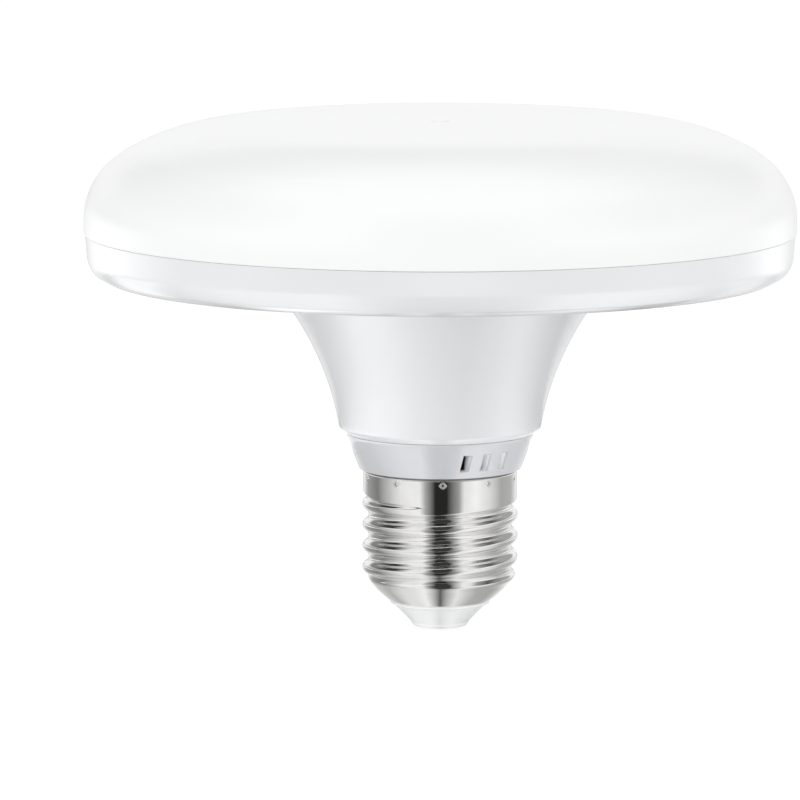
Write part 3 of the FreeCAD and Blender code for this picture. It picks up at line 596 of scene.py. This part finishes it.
def make_collar():
    """The holder's collar with its tail, head, vents and rails."""
    section = [(HOLDER_BORE, TAIL_FOOT), (TAIL_RADIUS, TAIL_FOOT), (TAIL_RADIUS, COLLAR_FOOT[1])]
    section += bowed(COLLAR_FOOT, COLLAR_TOP, COLLAR_BOW, COLLAR_ROWS)
    section += [(HEAD_RADIUS, COLLAR_TOP[1]), (HEAD_RADIUS, HEAD_TOP), (HEAD_RADIUS - HOLDER_WALL, HEAD_TOP)]
    section += [(HEAD_RADIUS - HOLDER_WALL, COLLAR_TOP[1]), (HOLDER_BORE, COLLAR_TOP[1] - HOLDER_WALL)]
    bm = spun(section, COLLAR_STEPS)
    soften(bm, COLLAR_FOOT, COLLAR_ROUND)
    soften(bm, COLLAR_TOP, COLLAR_ROUND)
    for side in (0.0, math.pi):
        for i in range(VENTS):
            cut_vent(bm, FIRST_VENT + VENT_STEP * i + side)
    add_rails(bm)
    bmesh.ops.recalc_face_normals(bm, faces=bm.faces)
    piece("vented_collar", bm, collar_white, ["driver_holder"])


shade_collar(collar_white)
make_collar()

# %% [markdown]
# ## Nickel plate
#
# The cap is rolled from thin sheet and plated. Rolling leaves faint lines round the axis, which
# stretch each reflection a little. The lines are noise on cylinder coordinates: slow along the
# angle and quick along the height.

# %% Nickel plate
LINE_LENGTH = 0.5
LINE_HEIGHT = 0.12
LINE_DEPTH = 0.0013


def round_the_axis(finish, along, across):
    """Coordinates that stretch a pattern round the lamp's axis."""
    angle = finish.axis("X").joined("ARCTAN2", finish.axis("Y"))
    return finish.node("ShaderNodeCombineXYZ", None, {
        0: angle.joined("SINE") / along, 1: angle.joined("COSINE") / along,
        2: finish.axis("Z") / across})


def make_nickel():
    """Bright nickel with rolled lines round the axis and faint clouds."""
    finish = Finish("nickel_shell", (0.90, 0.896, 0.878), metallic=1.0)
    lines = finish.noise(1.0, 3.0, round_the_axis(finish, LINE_LENGTH, LINE_HEIGHT))
    finish.roughen(0.03, 0.07, lines)
    finish.tint(finish.noise(3.0).between(0.4, 0.7), (0.86, 0.856, 0.838))
    finish.emboss(lines, LINE_DEPTH)
    return finish


nickel = make_nickel()

# %% [markdown]
# ## Screw shell
#
# The thread is the cap's whole character, so it is remade finer than in the frame. A line is
# drawn along the shell's section and spun round the axis. Then each point in the threaded
# stretch moves in or out by the thread's height there, which rises one pitch a turn. The
# thread's section is two tangent arcs. It fades into the cone below. Above, the last groove
# narrows along its turn and runs out in the skirt.

# %% Sizes of the screw shell
shell_low, shell_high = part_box("screw_shell")
CREST = shell_high.x / MM
FOOT = shell_low.z / MM
TOP_RISE = 0.42
TOP = shell_high.z / MM + TOP_RISE
DEPTH = 1.05
PITCH = 3.629
CREST_LEVEL = 18.55
FLANK = math.radians(60.0)
KNUCKLE = PITCH / (4 * math.sin(FLANK))
THREAD_STARTS = (7.6, 10.0)
LAST_ROOT = CREST_LEVEL + PITCH / 2
RUN_OUT = (math.radians(-8.0), math.radians(-112.0))
NARROWEST = 0.28
SKIRT = CREST - 0.15
SKIRT_TURN = 1.9
SKIRT_PLAIN = 2.0
WALL = 0.35
RIM = 0.14
RIM_DROP = 0.05
INSIDE_STEP = (3.4, 4.0)
CONE_FOOT = 7.9
CONE_TOP = 12.2
CONE_HEIGHT = 4.3
CONE_BULGE = 0.45
MOUTH = 6.8
FOOT_RIM = 0.28
FOOT_TURN = (-90, -10)
ROW = 0.13
SPIN_STEPS = 320


def eased(value, start, end):
    """0 at start and 1 at end, level at both."""
    share = min(max((value - start) / (end - start), 0.0), 1.0)
    return share * share * (3 - 2 * share)


def plain_radius(height):
    """The shell's outer radius without its thread."""
    share = (height - FOOT) / CONE_HEIGHT
    if share < 1.0:
        return CONE_FOOT + (CONE_TOP - CONE_FOOT) * share + 4 * CONE_BULGE * share * (1 - share)
    middle = (TOP + FOOT) / 2
    return CONE_TOP if height < middle else SKIRT


def knuckle(off_crest):
    """The thread's radius at a height away from its crest: two tangent arcs, one round and one hollow."""
    if off_crest < PITCH / 4:
        return CREST - (KNUCKLE - math.sqrt(KNUCKLE ** 2 - off_crest ** 2))
    off_root = max(PITCH / 2 - off_crest, 0.0)
    return CREST - DEPTH + KNUCKLE - math.sqrt(KNUCKLE ** 2 - off_root ** 2)


def above_last_root(rise):
    """The tighter turn from the last groove out to the skirt, which it meets level."""
    root = CREST - DEPTH
    off_crest = max(PITCH / 2 - rise * SKIRT_TURN, 0.0)
    return root + (knuckle(off_crest) - root) * (SKIRT - root) / DEPTH


def threaded_radius(height, azimuth):
    """The shell's outer radius with its thread. The last groove narrows along its turn and runs out."""
    level = height - PITCH * azimuth / (2 * math.pi)
    turns = (level - CREST_LEVEL) / PITCH
    thread = knuckle(abs(turns - round(turns)) * PITCH)
    groove = eased(azimuth, *RUN_OUT)
    above_crest = (level - LAST_ROOT - PITCH / 2) / (NARROWEST + (1 - NARROWEST) * groove ** 2)
    if above_crest > PITCH / 2:
        radius = SKIRT + (above_last_root(above_crest - PITCH / 2) - SKIRT) * groove
    elif above_crest > 0:
        radius = SKIRT + (knuckle(above_crest) - SKIRT) * groove
    elif level > LAST_ROOT:
        plain = above_last_root(level - LAST_ROOT)
        radius = plain + (thread - plain) * groove
    else:
        radius = thread
    share = eased(height, *THREAD_STARTS)
    return plain_radius(height) * (1 - share) + radius * share


# %% [markdown]
# The crimp marks that hold the shell are small punched pits with a raised rim. The spun faces
# are too coarse for them, so the faces round each pit are divided first. Then the same move
# of points in and out presses the pits.

# %% Crimp marks
CRIMPS = 10
CRIMP_TURN = math.radians(1.7)
CRIMP_LEVEL = TOP - 0.96
CRIMP_REACH = 1.0
PIT_FLOOR = 0.32
PIT_RADIUS = 0.44
PIT_DEPTH = 0.20
PIT_RIM = 0.04
RIM_WIDTH = 0.12
DIAMOND = 1.15
CRIMP_CUTS = 3


def from_crimp(point):
    """The distance across the skirt to the nearest crimp mark, for a slightly diamond-shaped pit."""
    step = 2 * math.pi / CRIMPS
    angle = azimuth_of(point) - CRIMP_TURN
    across = abs(angle - round(angle / step) * step) * SKIRT
    up = abs(point.z / MM - CRIMP_LEVEL)
    return (across ** DIAMOND + up ** DIAMOND) ** (1 / DIAMOND)


def press_crimps(bm):
    """Divide the skirt's faces round each crimp mark, then press the pits and raise their rims."""
    outside = [face for face in bm.faces
               if math.hypot(*face.calc_center_median().xy) > (SKIRT - WALL / 2) * MM
               and from_crimp(face.calc_center_median()) < CRIMP_REACH]
    edges = {edge for face in outside for edge in face.edges}
    bmesh.ops.subdivide_edges(bm, edges=list(edges), cuts=CRIMP_CUTS, use_grid_fill=True)
    for vert in bm.verts:
        away = from_crimp(vert.co)
        outer = math.hypot(*vert.co.xy) > (SKIRT - RIM) * MM
        if outer and away <= CRIMP_REACH and vert.co.z / MM <= TOP - RIM:
            pit = PIT_DEPTH * (1 - eased(away, PIT_FLOOR, PIT_RADIUS))
            rim = PIT_RIM * math.exp(-((away - PIT_RADIUS - RIM_WIDTH / 2) / RIM_WIDTH) ** 2)
            set_radius(vert, SKIRT - pit + rim)


# %% Screw shell


def shell_section():
    """The shell's closed section, from its mouth up the outside and down the inside."""
    section = [(MOUTH, FOOT)]
    section += arc((CONE_FOOT - FOOT_RIM, FOOT + FOOT_RIM), FOOT_RIM, *FOOT_TURN)
    start = FOOT + FOOT_RIM
    plain = TOP - RIM - start
    rows = round(plain / ROW)
    for i in range(rows + 1):
        height = start + plain * i / rows
        section.append((plain_radius(height), height))
    section += arc((SKIRT - RIM, TOP - RIM), RIM, 0, 90)[1:]
    bore = CREST - DEPTH - WALL
    section += [(SKIRT - WALL, TOP - RIM_DROP), (SKIRT - WALL, TOP - INSIDE_STEP[0])]
    section += [(bore, TOP - INSIDE_STEP[1]), (bore, FOOT + CONE_HEIGHT + WALL)]
    section += [(CONE_FOOT - WALL, FOOT + WALL), (MOUTH, FOOT + WALL)]
    return section


def make_shell():
    """The nickel-plated screw shell."""
    bm = spun(shell_section(), SPIN_STEPS)
    for vert in bm.verts:
        height = vert.co.z / MM
        outer = math.hypot(*vert.co.xy) / MM > plain_radius(height) - RIM
        if outer and THREAD_STARTS[0] < height < TOP - SKIRT_PLAIN:
            set_radius(vert, threaded_radius(height, azimuth_of(vert.co)))
    press_crimps(bm)
    piece("plated_shell", bm, nickel, ["screw_shell"], sharp=60.0)


make_shell()

# %% [markdown]
# The insulator's plastic folds over the shell's foot in a small white bead. Its section is a
# circle of a few points, spun round the axis.

# %% Insulator's lip
LIP_BEAD = 0.32
LIP_MIDDLE = (CONE_FOOT + 0.3, FOOT + 0.25)
LIP_POINTS = 24


def make_lip():
    """A white bead that folds over the shell's foot."""
    section = arc(LIP_MIDDLE, LIP_BEAD, 0, 360 - 360 / LIP_POINTS, LIP_POINTS - 1)
    piece("insulator_lip", spun(section, SPIN_STEPS), insulator_white)


make_lip()

# %% [markdown]
# ## Inside the lamp
#
# The parts inside show only through the vents, yet each has its own finish, so that the lamp
# can be opened. The diodes share one material: their yellow window is found by its level.

# %% Inside the lamp
PLAIN_GRAIN = 0.4
PLAIN_DEPTH = 0.004


def plain_finish(name, colour, rough, mark, mark_size=1.0, **constants):
    """A finish with marks of a second colour, wandering gloss and a fine grain."""
    finish = Finish(name, colour, **constants)
    finish.tint(finish.noise(mark_size, 4.0).between(0.45, 0.65), mark)
    finish.roughen(rough - 0.06, rough + 0.08, finish.noise(2.0, 3.0))
    finish.emboss(finish.noise(PLAIN_GRAIN, 3.0), PLAIN_DEPTH)
    return finish


plain_finish("spreader_aluminium", (0.75, 0.75, 0.76), 0.38, (0.68, 0.68, 0.70),
             metallic=1.0).paint("heat_spreader")
plain_finish("screw_steel", (0.62, 0.62, 0.61), 0.35, (0.52, 0.52, 0.50),
             metallic=1.0).paint("board_screws")
plain_finish("tinned_contact", (0.74, 0.73, 0.70), 0.30, (0.60, 0.59, 0.55), 0.6,
             metallic=1.0).paint("centre_contact")
plain_finish("white_board", (0.88, 0.88, 0.85), 0.40, (0.84, 0.84, 0.80), 3.0).paint("light_board")
plain_finish("terminal_plastic", (0.85, 0.84, 0.80), 0.35, (0.80, 0.79, 0.74)).paint("board_terminal")
plain_finish("ferrite", (0.05, 0.05, 0.055), 0.6, (0.09, 0.09, 0.09), 0.3).paint("inductor_core")
plain_finish("capacitor_sleeve", (0.02, 0.02, 0.025), 0.3, (0.03, 0.03, 0.035), 4.0).paint("bulk_capacitor")
plain_finish("film_capacitor", (0.10, 0.02, 0.01), 0.35, (0.13, 0.03, 0.015), 3.0).paint("input_capacitor")
plain_finish("chip_plastic", (0.02, 0.02, 0.022), 0.55,
             (0.03, 0.03, 0.03)).paint("driver_ic", "bridge_rectifier")
plain_finish("resistor_coat", (0.10, 0.24, 0.22), 0.45, (0.13, 0.28, 0.25)).paint("fuse_resistor")
plain_finish("varistor_coat", (0.01, 0.05, 0.26), 0.35, (0.02, 0.07, 0.32)).paint("varistor")
plain_finish("red_wire", (0.35, 0.01, 0.01), 0.45, (0.30, 0.01, 0.01), 3.0).paint("dc_wire_positive")
plain_finish("black_wire", (0.01, 0.01, 0.01), 0.45, (0.02, 0.02, 0.02), 3.0).paint("dc_wire_negative")
plain_finish("brown_wire", (0.08, 0.025, 0.01), 0.45, (0.10, 0.03, 0.01), 3.0).paint("live_wire")
plain_finish("blue_wire", (0.01, 0.03, 0.25), 0.45, (0.01, 0.04, 0.30), 3.0).paint("neutral_wire")

# %% Copper winding, circuit board and diodes
COIL_PITCH = 0.35
TRACKS_ACROSS = 1.3
TRACKS_UP = 0.9
WINDOW_TOP = (0.10, 0.13)
WINDOW_FOOT = (0.25, 0.20)


def make_winding():
    """Varnished copper: turns laid side by side along the coil's axis, which is Y."""
    finish = Finish("copper_winding", (0.55, 0.22, 0.08), metallic=1.0)
    turns = (finish.axis("Y") * (2 * math.pi / COIL_PITCH)).joined("SINE") * 0.5 + 0.5
    finish.tint(turns, (0.30, 0.10, 0.04))
    finish.roughen(0.25, 0.40, turns)
    finish.emboss(turns, 0.08)
    return finish


def make_board():
    """Green solder mask over tracks, which show as a paler grid."""
    finish = Finish("circuit_board", (0.01, 0.10, 0.03))
    across = (finish.axis("X") * TRACKS_ACROSS).joined("SINE")
    up = (finish.axis("Z") * TRACKS_UP).joined("SINE")
    tracks = (across * up).between(0.25, 0.32)
    finish.tint(tracks, (0.03, 0.20, 0.06))
    finish.roughen(0.35, 0.45, finish.noise(2.0))
    finish.emboss(tracks, 0.03)
    return finish


def make_diode():
    """White package with a yellow phosphor window, which lies lower than the package's top."""
    finish = Finish("led_package", (0.88, 0.87, 0.82))
    below_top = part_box("led_01")[1].z / MM - finish.axis("Z")
    window = below_top.between(*WINDOW_TOP) * below_top.between(*WINDOW_FOOT)
    finish.tint(window, (0.83, 0.55, 0.06))
    finish.roughen(0.30, 0.45, finish.noise(0.5))
    finish.emboss(finish.noise(0.2), 0.01)
    return finish


make_winding().paint("inductor_winding")
make_board().paint("driver_board")
diodes = sorted(name for name in nodes if name.startswith("led_"))
make_diode().paint(*diodes)
print("diodes:", len(diodes))

# %% [markdown]
# ## Studio
#
# Nickel shows nothing but its surroundings, so these are drawn first. Seen from the cap, the
# studio is a low ring of panels, dark in front where the camera stands. Over the ring lies a
# dark gap, and over the gap a bright ceiling. A tall panel stands on each side of the camera
# and crosses the gap. Behind the lamp one wide bright panel reaches higher, so that the gap
# starts higher there. Only reflections see this studio. The camera sees plain white.

# %% The studio round the lamp
WHITE = (1.0, 1.0, 1.0, 1.0)
WORLD_COLOUR = (0.98, 0.99, 1.0, 1.0)
WORLD_LIGHT = 1.0
RING = [
    (-180, 0.5), (-168, 0.6), (-156, 0.9), (-146, 0.6), (-135, 0.36), (-108, 0.22), (-84, 0.55),
    (-62, 0.88), (-32, 0.95), (-23, 0.42), (-8, 0.02), (10, 0.02), (29, 0.36), (37, 0.86),
    (55, 1.0), (80, 0.78), (105, 0.42), (130, 0.48), (156, 0.9), (168, 0.6),
]
BACK_PANEL = [(-180, 1.0), (-166, 1.0), (-154, 0.0), (154, 0.0), (166, 1.0)]
TALL_PANELS = [
    (-180, 0.3), (-128, 0.22), (-108, 0.05), (-84, 0.04), (-68, 0.45), (-54, 0.9), (-30, 0.9),
    (-20, 0.3), (-13, 0.0), (13, 0.0), (22, 0.4), (37, 0.92), (52, 0.8), (64, 0.35), (88, 0.1),
    (108, 0.28), (128, 0.4),
]
GAP_STARTS = (14, 26)
GAP_ENDS = (46, 60)
BACK_GAP_STARTS = (24, 34)
BACK_GAP_ENDS = (42, 58)
GAP_SHADE = 0.04
RING_HAZE = (0, 14)


def part_of(tree, place, name):
    """One coordinate of a place."""
    return tree.node("ShaderNodeSeparateXYZ", None, {0: place}, out=name)


def by_azimuth(tree, place, stops):
    """A shade that changes with the angle round the lamp, which is 0 in front and positive on the right."""
    x, y = part_of(tree, place, "X"), part_of(tree, place, "Y")
    turn = x.joined("ARCTAN2", y * -1.0) / (2 * math.pi) + 0.5
    stops = [(angle / 360 + 0.5, (shade, shade, shade, 1.0)) for angle, shade in stops]
    return tree.node("ShaderNodeValToRGB", {"stops": stops}, {0: turn})


def ray(tree, name):
    """1 for one kind of ray and 0 for the others."""
    return tree.node("ShaderNodeLightPath", out=f"Is {name} Ray")


def shown_rays(tree):
    """1 for rays from the camera and for those seen in metal or glass, and 0 for light on the object."""
    return ray(tree, "Camera").joined("MAXIMUM", ray(tree, "Glossy")).joined(
        "MAXIMUM", ray(tree, "Transmission"))


def make_world():
    """White to the camera, the studio in reflections, and a plain pale grey as light."""
    world = bpy.data.worlds.new("world")
    bpy.context.scene.world = world
    world.use_nodes = True
    tree = Tree(world.node_tree)
    away = tree.node("ShaderNodeTexCoord", out="Generated")
    rise = part_of(tree, away, "Z").joined("ARCSINE") * (180 / math.pi)
    back = by_azimuth(tree, away, BACK_PANEL)
    front_gap = rise.between(*GAP_STARTS) * (1 - rise.between(*GAP_ENDS))
    back_gap = rise.between(*BACK_GAP_STARTS) * (1 - rise.between(*BACK_GAP_ENDS))
    gap = front_gap * (1 - back) + back_gap * back
    haze = rise.between(*RING_HAZE)
    ring = by_azimuth(tree, away, RING).joined("MAXIMUM", back)
    low = (ring + (1 - ring) * ring * haze) * (1 - gap) + gap * GAP_SHADE
    ceiling = rise.between(*GAP_ENDS).joined("MAXIMUM", rise.between(*BACK_GAP_ENDS) * back)
    tall = by_azimuth(tree, away, TALL_PANELS)
    studio = low.joined("MAXIMUM", tall).joined("MAXIMUM", ceiling)
    light = tree.node("ShaderNodeBackground", None, {"Color": WORLD_COLOUR, "Strength": WORLD_LIGHT})
    shade = tree.blend(ray(tree, "Glossy"), WHITE, studio)
    seen = tree.node("ShaderNodeBackground", None, {"Color": shade, "Strength": 1.0})
    whole = tree.node("ShaderNodeMixShader", None, {0: shown_rays(tree), 1: light, 2: seen})
    tree.links.new(whole.socket, tree.nodes["World Output"].inputs["Surface"])


make_world()

# %% [markdown]
# ## Floor
#
# The floor is white to the camera and keeps the lamp's shadow. Reflections see it in three
# zones, as light falls round a lamp: pale under the cap with grey sides, then the ring of
# panels, and a softer ring far off, which the pan shows. From below it is clear, so that the
# underside can be looked at.

# %% Floor
FLOOR_GLOW = (0.86, 0.86, 0.86, 1.0)
FLOOR_SHADOW = (0.19, 0.19, 0.19, 1.0)
FLOOR_PAPER = (0.97, 0.97, 0.97, 1.0)
UNDER_CAP = [
    (-180, 1.0), (-140, 0.7), (-112, 0.6), (-86, 0.48), (-58, 0.78), (-36, 0.84), (-22, 0.95),
    (-9, 0.5), (0, 0.12), (9, 0.45), (25, 0.85), (42, 0.6), (56, 0.46), (84, 0.42), (104, 0.52),
    (128, 0.75),
]
FAR_OFF = [
    (-180, 0.15), (-150, 0.5), (-127, 0.8), (-106, 0.5), (-88, 0.22), (-62, 0.22), (-40, 0.10),
    (-19, 0.13), (0, 0.25), (12, 0.23), (30, 0.11), (48, 0.13), (68, 0.24), (94, 0.26),
    (112, 0.45), (128, 0.75), (150, 0.4),
]
FAR_GAIN = 2.0
TO_RING = (13, 30)
TO_FAR_OFF = (195, 310)
WEDGE_TIP = 11.0


def make_floor():
    """A pale floor that stays white to the camera and keeps the lamp's shadow."""
    bpy.ops.mesh.primitive_plane_add(size=40.0, location=(0, 0, 0))
    floor = bpy.context.object
    floor.name = "floor"
    material = bpy.data.materials.new("floor")
    material.use_nodes = True
    tree = Tree(material.node_tree)
    tree.nodes.remove(tree.nodes["Principled BSDF"])
    metres = tree.node("ShaderNodeTexCoord", out="Object")
    here = tree.node("ShaderNodeVectorMath", {"operation": "SCALE"}, {0: metres, "Scale": 1.0 / MM})
    ahead = tree.node("ShaderNodeVectorMath", {"operation": "ADD"}, {0: here, 1: (0.0, WEDGE_TIP, 0.0)})
    reach = tree.node("ShaderNodeVectorMath", {"operation": "LENGTH"}, {0: here}, out="Value")
    shade = by_azimuth(tree, here, UNDER_CAP)
    panels = by_azimuth(tree, ahead, RING)
    far_off = by_azimuth(tree, here, FAR_OFF) * FAR_GAIN
    for outer, border in ((panels, TO_RING), (far_off, TO_FAR_OFF)):
        share = reach.between(*border)
        shade = shade * (1 - share) + outer * share
    paper = tree.node("ShaderNodeBsdfDiffuse", None, {"Color": FLOOR_PAPER})
    glow = tree.node("ShaderNodeEmission", None, {"Color": FLOOR_GLOW})
    faint = tree.node("ShaderNodeBsdfDiffuse", None, {"Color": FLOOR_SHADOW})
    seen = tree.node("ShaderNodeAddShader", None, {0: glow, 1: faint})
    mirrored = tree.node("ShaderNodeEmission", None, {"Color": shade})
    shown = tree.node("ShaderNodeMixShader", None, {0: ray(tree, "Glossy"), 1: seen, 2: mirrored})
    surface = tree.node("ShaderNodeMixShader", None, {0: shown_rays(tree), 1: paper, 2: shown})
    clear = tree.node("ShaderNodeBsdfTransparent")
    below = tree.node("ShaderNodeNewGeometry", out="Backfacing")
    whole = tree.node("ShaderNodeMixShader", None, {0: below, 1: surface, 2: clear})
    tree.links.new(whole.socket, tree.nodes["Material Output"].inputs["Surface"])
    floor.data.materials.append(material)


make_floor()

# %% [markdown]
# ## Flag and cards
#
# Three thin rings lie round the lamp, as a photographer's flag and cards do. Only reflections
# see them, and each from one side only. The dark flag lies under the pan and is seen from below.
# Without it the pan's pale underside would hide the dark lines that the thread's upper flanks
# show. Two cards lie level with the skirt and are seen from above. The bounce card gives the
# neck its soft stripes, and its outer part is greyer. The end card is farther out and cut to
# a piece on each side. It keeps the pan's two ends pale.

# %% Cards
FLAG_LEVEL = PAN_FOOT - 1.0
FLAG_REACH = (30.0, PAN_RADIUS)
CARD_LEVEL = 26.2
CARD_REACH = (26.5, 56.0)
CARD_GAIN = 1.6
CARD_FADES = (42.5, 52.0)
CARD_FADE = 0.6
CARD_STRIPES = [
    (-180, 0.75), (-150, 0.75), (-112, 0.55), (-92, 0.75), (-65, 1.0), (-42, 0.85), (-20, 0.5),
    (0, 0.28), (20, 0.14), (40, 0.34), (64, 0.68), (85, 0.5), (108, 0.3), (140, 0.7),
]
END_REACH = (62.0, 150.0)
END_GAIN = 1.2
END_STRIPES = [
    (-180, 0.0), (-128, 0.0), (-112, 1.0), (-90, 1.0), (-74, 0.0), (74, 0.0), (92, 0.8),
    (112, 0.8), (128, 0.0),
]


def make_card(name, reach, level, stops, gain=1.0, faces_up=True, fades=None, cut=False):
    """A thin ring round the lamp that only reflections see, from one side, shaded by its azimuth."""
    bm = spun([(reach[0], level), (reach[1], level)], WHITE_STEPS, closed=False)
    facing_down = [face for face in bm.faces if face.normal.z < 0]
    bmesh.ops.reverse_faces(bm, faces=facing_down)
    mesh = bpy.data.meshes.new(name)
    bm.to_mesh(mesh)
    bm.free()
    card = bpy.data.objects.new(name, mesh)
    bpy.context.scene.collection.objects.link(card)
    material = bpy.data.materials.new(name)
    material.use_nodes = True
    tree = Tree(material.node_tree)
    tree.nodes.remove(tree.nodes["Principled BSDF"])
    here = tree.node("ShaderNodeTexCoord", out="Object")
    shade = by_azimuth(tree, here, stops) * gain
    if fades:
        away = tree.node("ShaderNodeVectorMath", {"operation": "LENGTH"}, {0: here}, out="Value") / MM
        shade = shade * (1 - away.between(*fades) * CARD_FADE)
    face = tree.node("ShaderNodeEmission", None, {"Color": shade.joined("MAXIMUM", GAP_SHADE)})
    clear = tree.node("ShaderNodeBsdfTransparent")
    below = tree.node("ShaderNodeNewGeometry", out="Backfacing")
    hidden = below if faces_up else 1 - below
    if cut:
        hidden = hidden.joined("MAXIMUM", 1 - by_azimuth(tree, here, stops))
    whole = tree.node("ShaderNodeMixShader", None, {0: hidden, 1: face, 2: clear})
    tree.links.new(whole.socket, tree.nodes["Material Output"].inputs["Surface"])
    mesh.materials.append(material)
    card.visible_camera = False
    card.visible_diffuse = False
    card.visible_transmission = False
    card.visible_volume_scatter = False
    card.visible_shadow = False


make_card("flag", FLAG_REACH, FLAG_LEVEL, TALL_PANELS, faces_up=False)
make_card("bounce_card", CARD_REACH, CARD_LEVEL, CARD_STRIPES, CARD_GAIN, fades=CARD_FADES)
make_card("end_card", END_REACH, CARD_LEVEL, END_STRIPES, END_GAIN, cut=True)

# %% [markdown]
# ## Lamps
#
# Large soft lamps stand low on the left and right and high in front. The left one is the
# strongest, so that the neck turns from light to shade. Reflections don't show them, because
# the studio's panels already stand for them there.

# %% Lamps
LAMPS_FACE = Vector((0.0, 0.0, 0.05))


def soft_lamp(name, azimuth, height, distance, width, tall, radiance):
    """A rectangular lamp that faces the object from an azimuth, with a radiance of its face."""
    data = bpy.data.lights.new(name, "AREA")
    data.shape = "RECTANGLE"
    data.size = width
    data.size_y = tall
    data.energy = radiance * math.pi * width * tall
    lamp = bpy.data.objects.new(name, data)
    angle = math.radians(azimuth)
    lamp.location = (distance * math.sin(angle), -distance * math.cos(angle), height)
    aim = LAMPS_FACE - lamp.location
    lamp.rotation_euler = aim.to_track_quat("-Z", "Y").to_euler()
    lamp.visible_glossy = False
    bpy.context.scene.collection.objects.link(lamp)


soft_lamp("left_lamp", azimuth=-55, height=0.12, distance=0.7, width=0.4, tall=0.5, radiance=0.6)
soft_lamp("right_lamp", azimuth=55, height=0.12, distance=0.7, width=0.4, tall=0.5, radiance=0.35)
soft_lamp("front_lamp", azimuth=0, height=0.60, distance=0.8, width=0.7, tall=0.5, radiance=0.2)
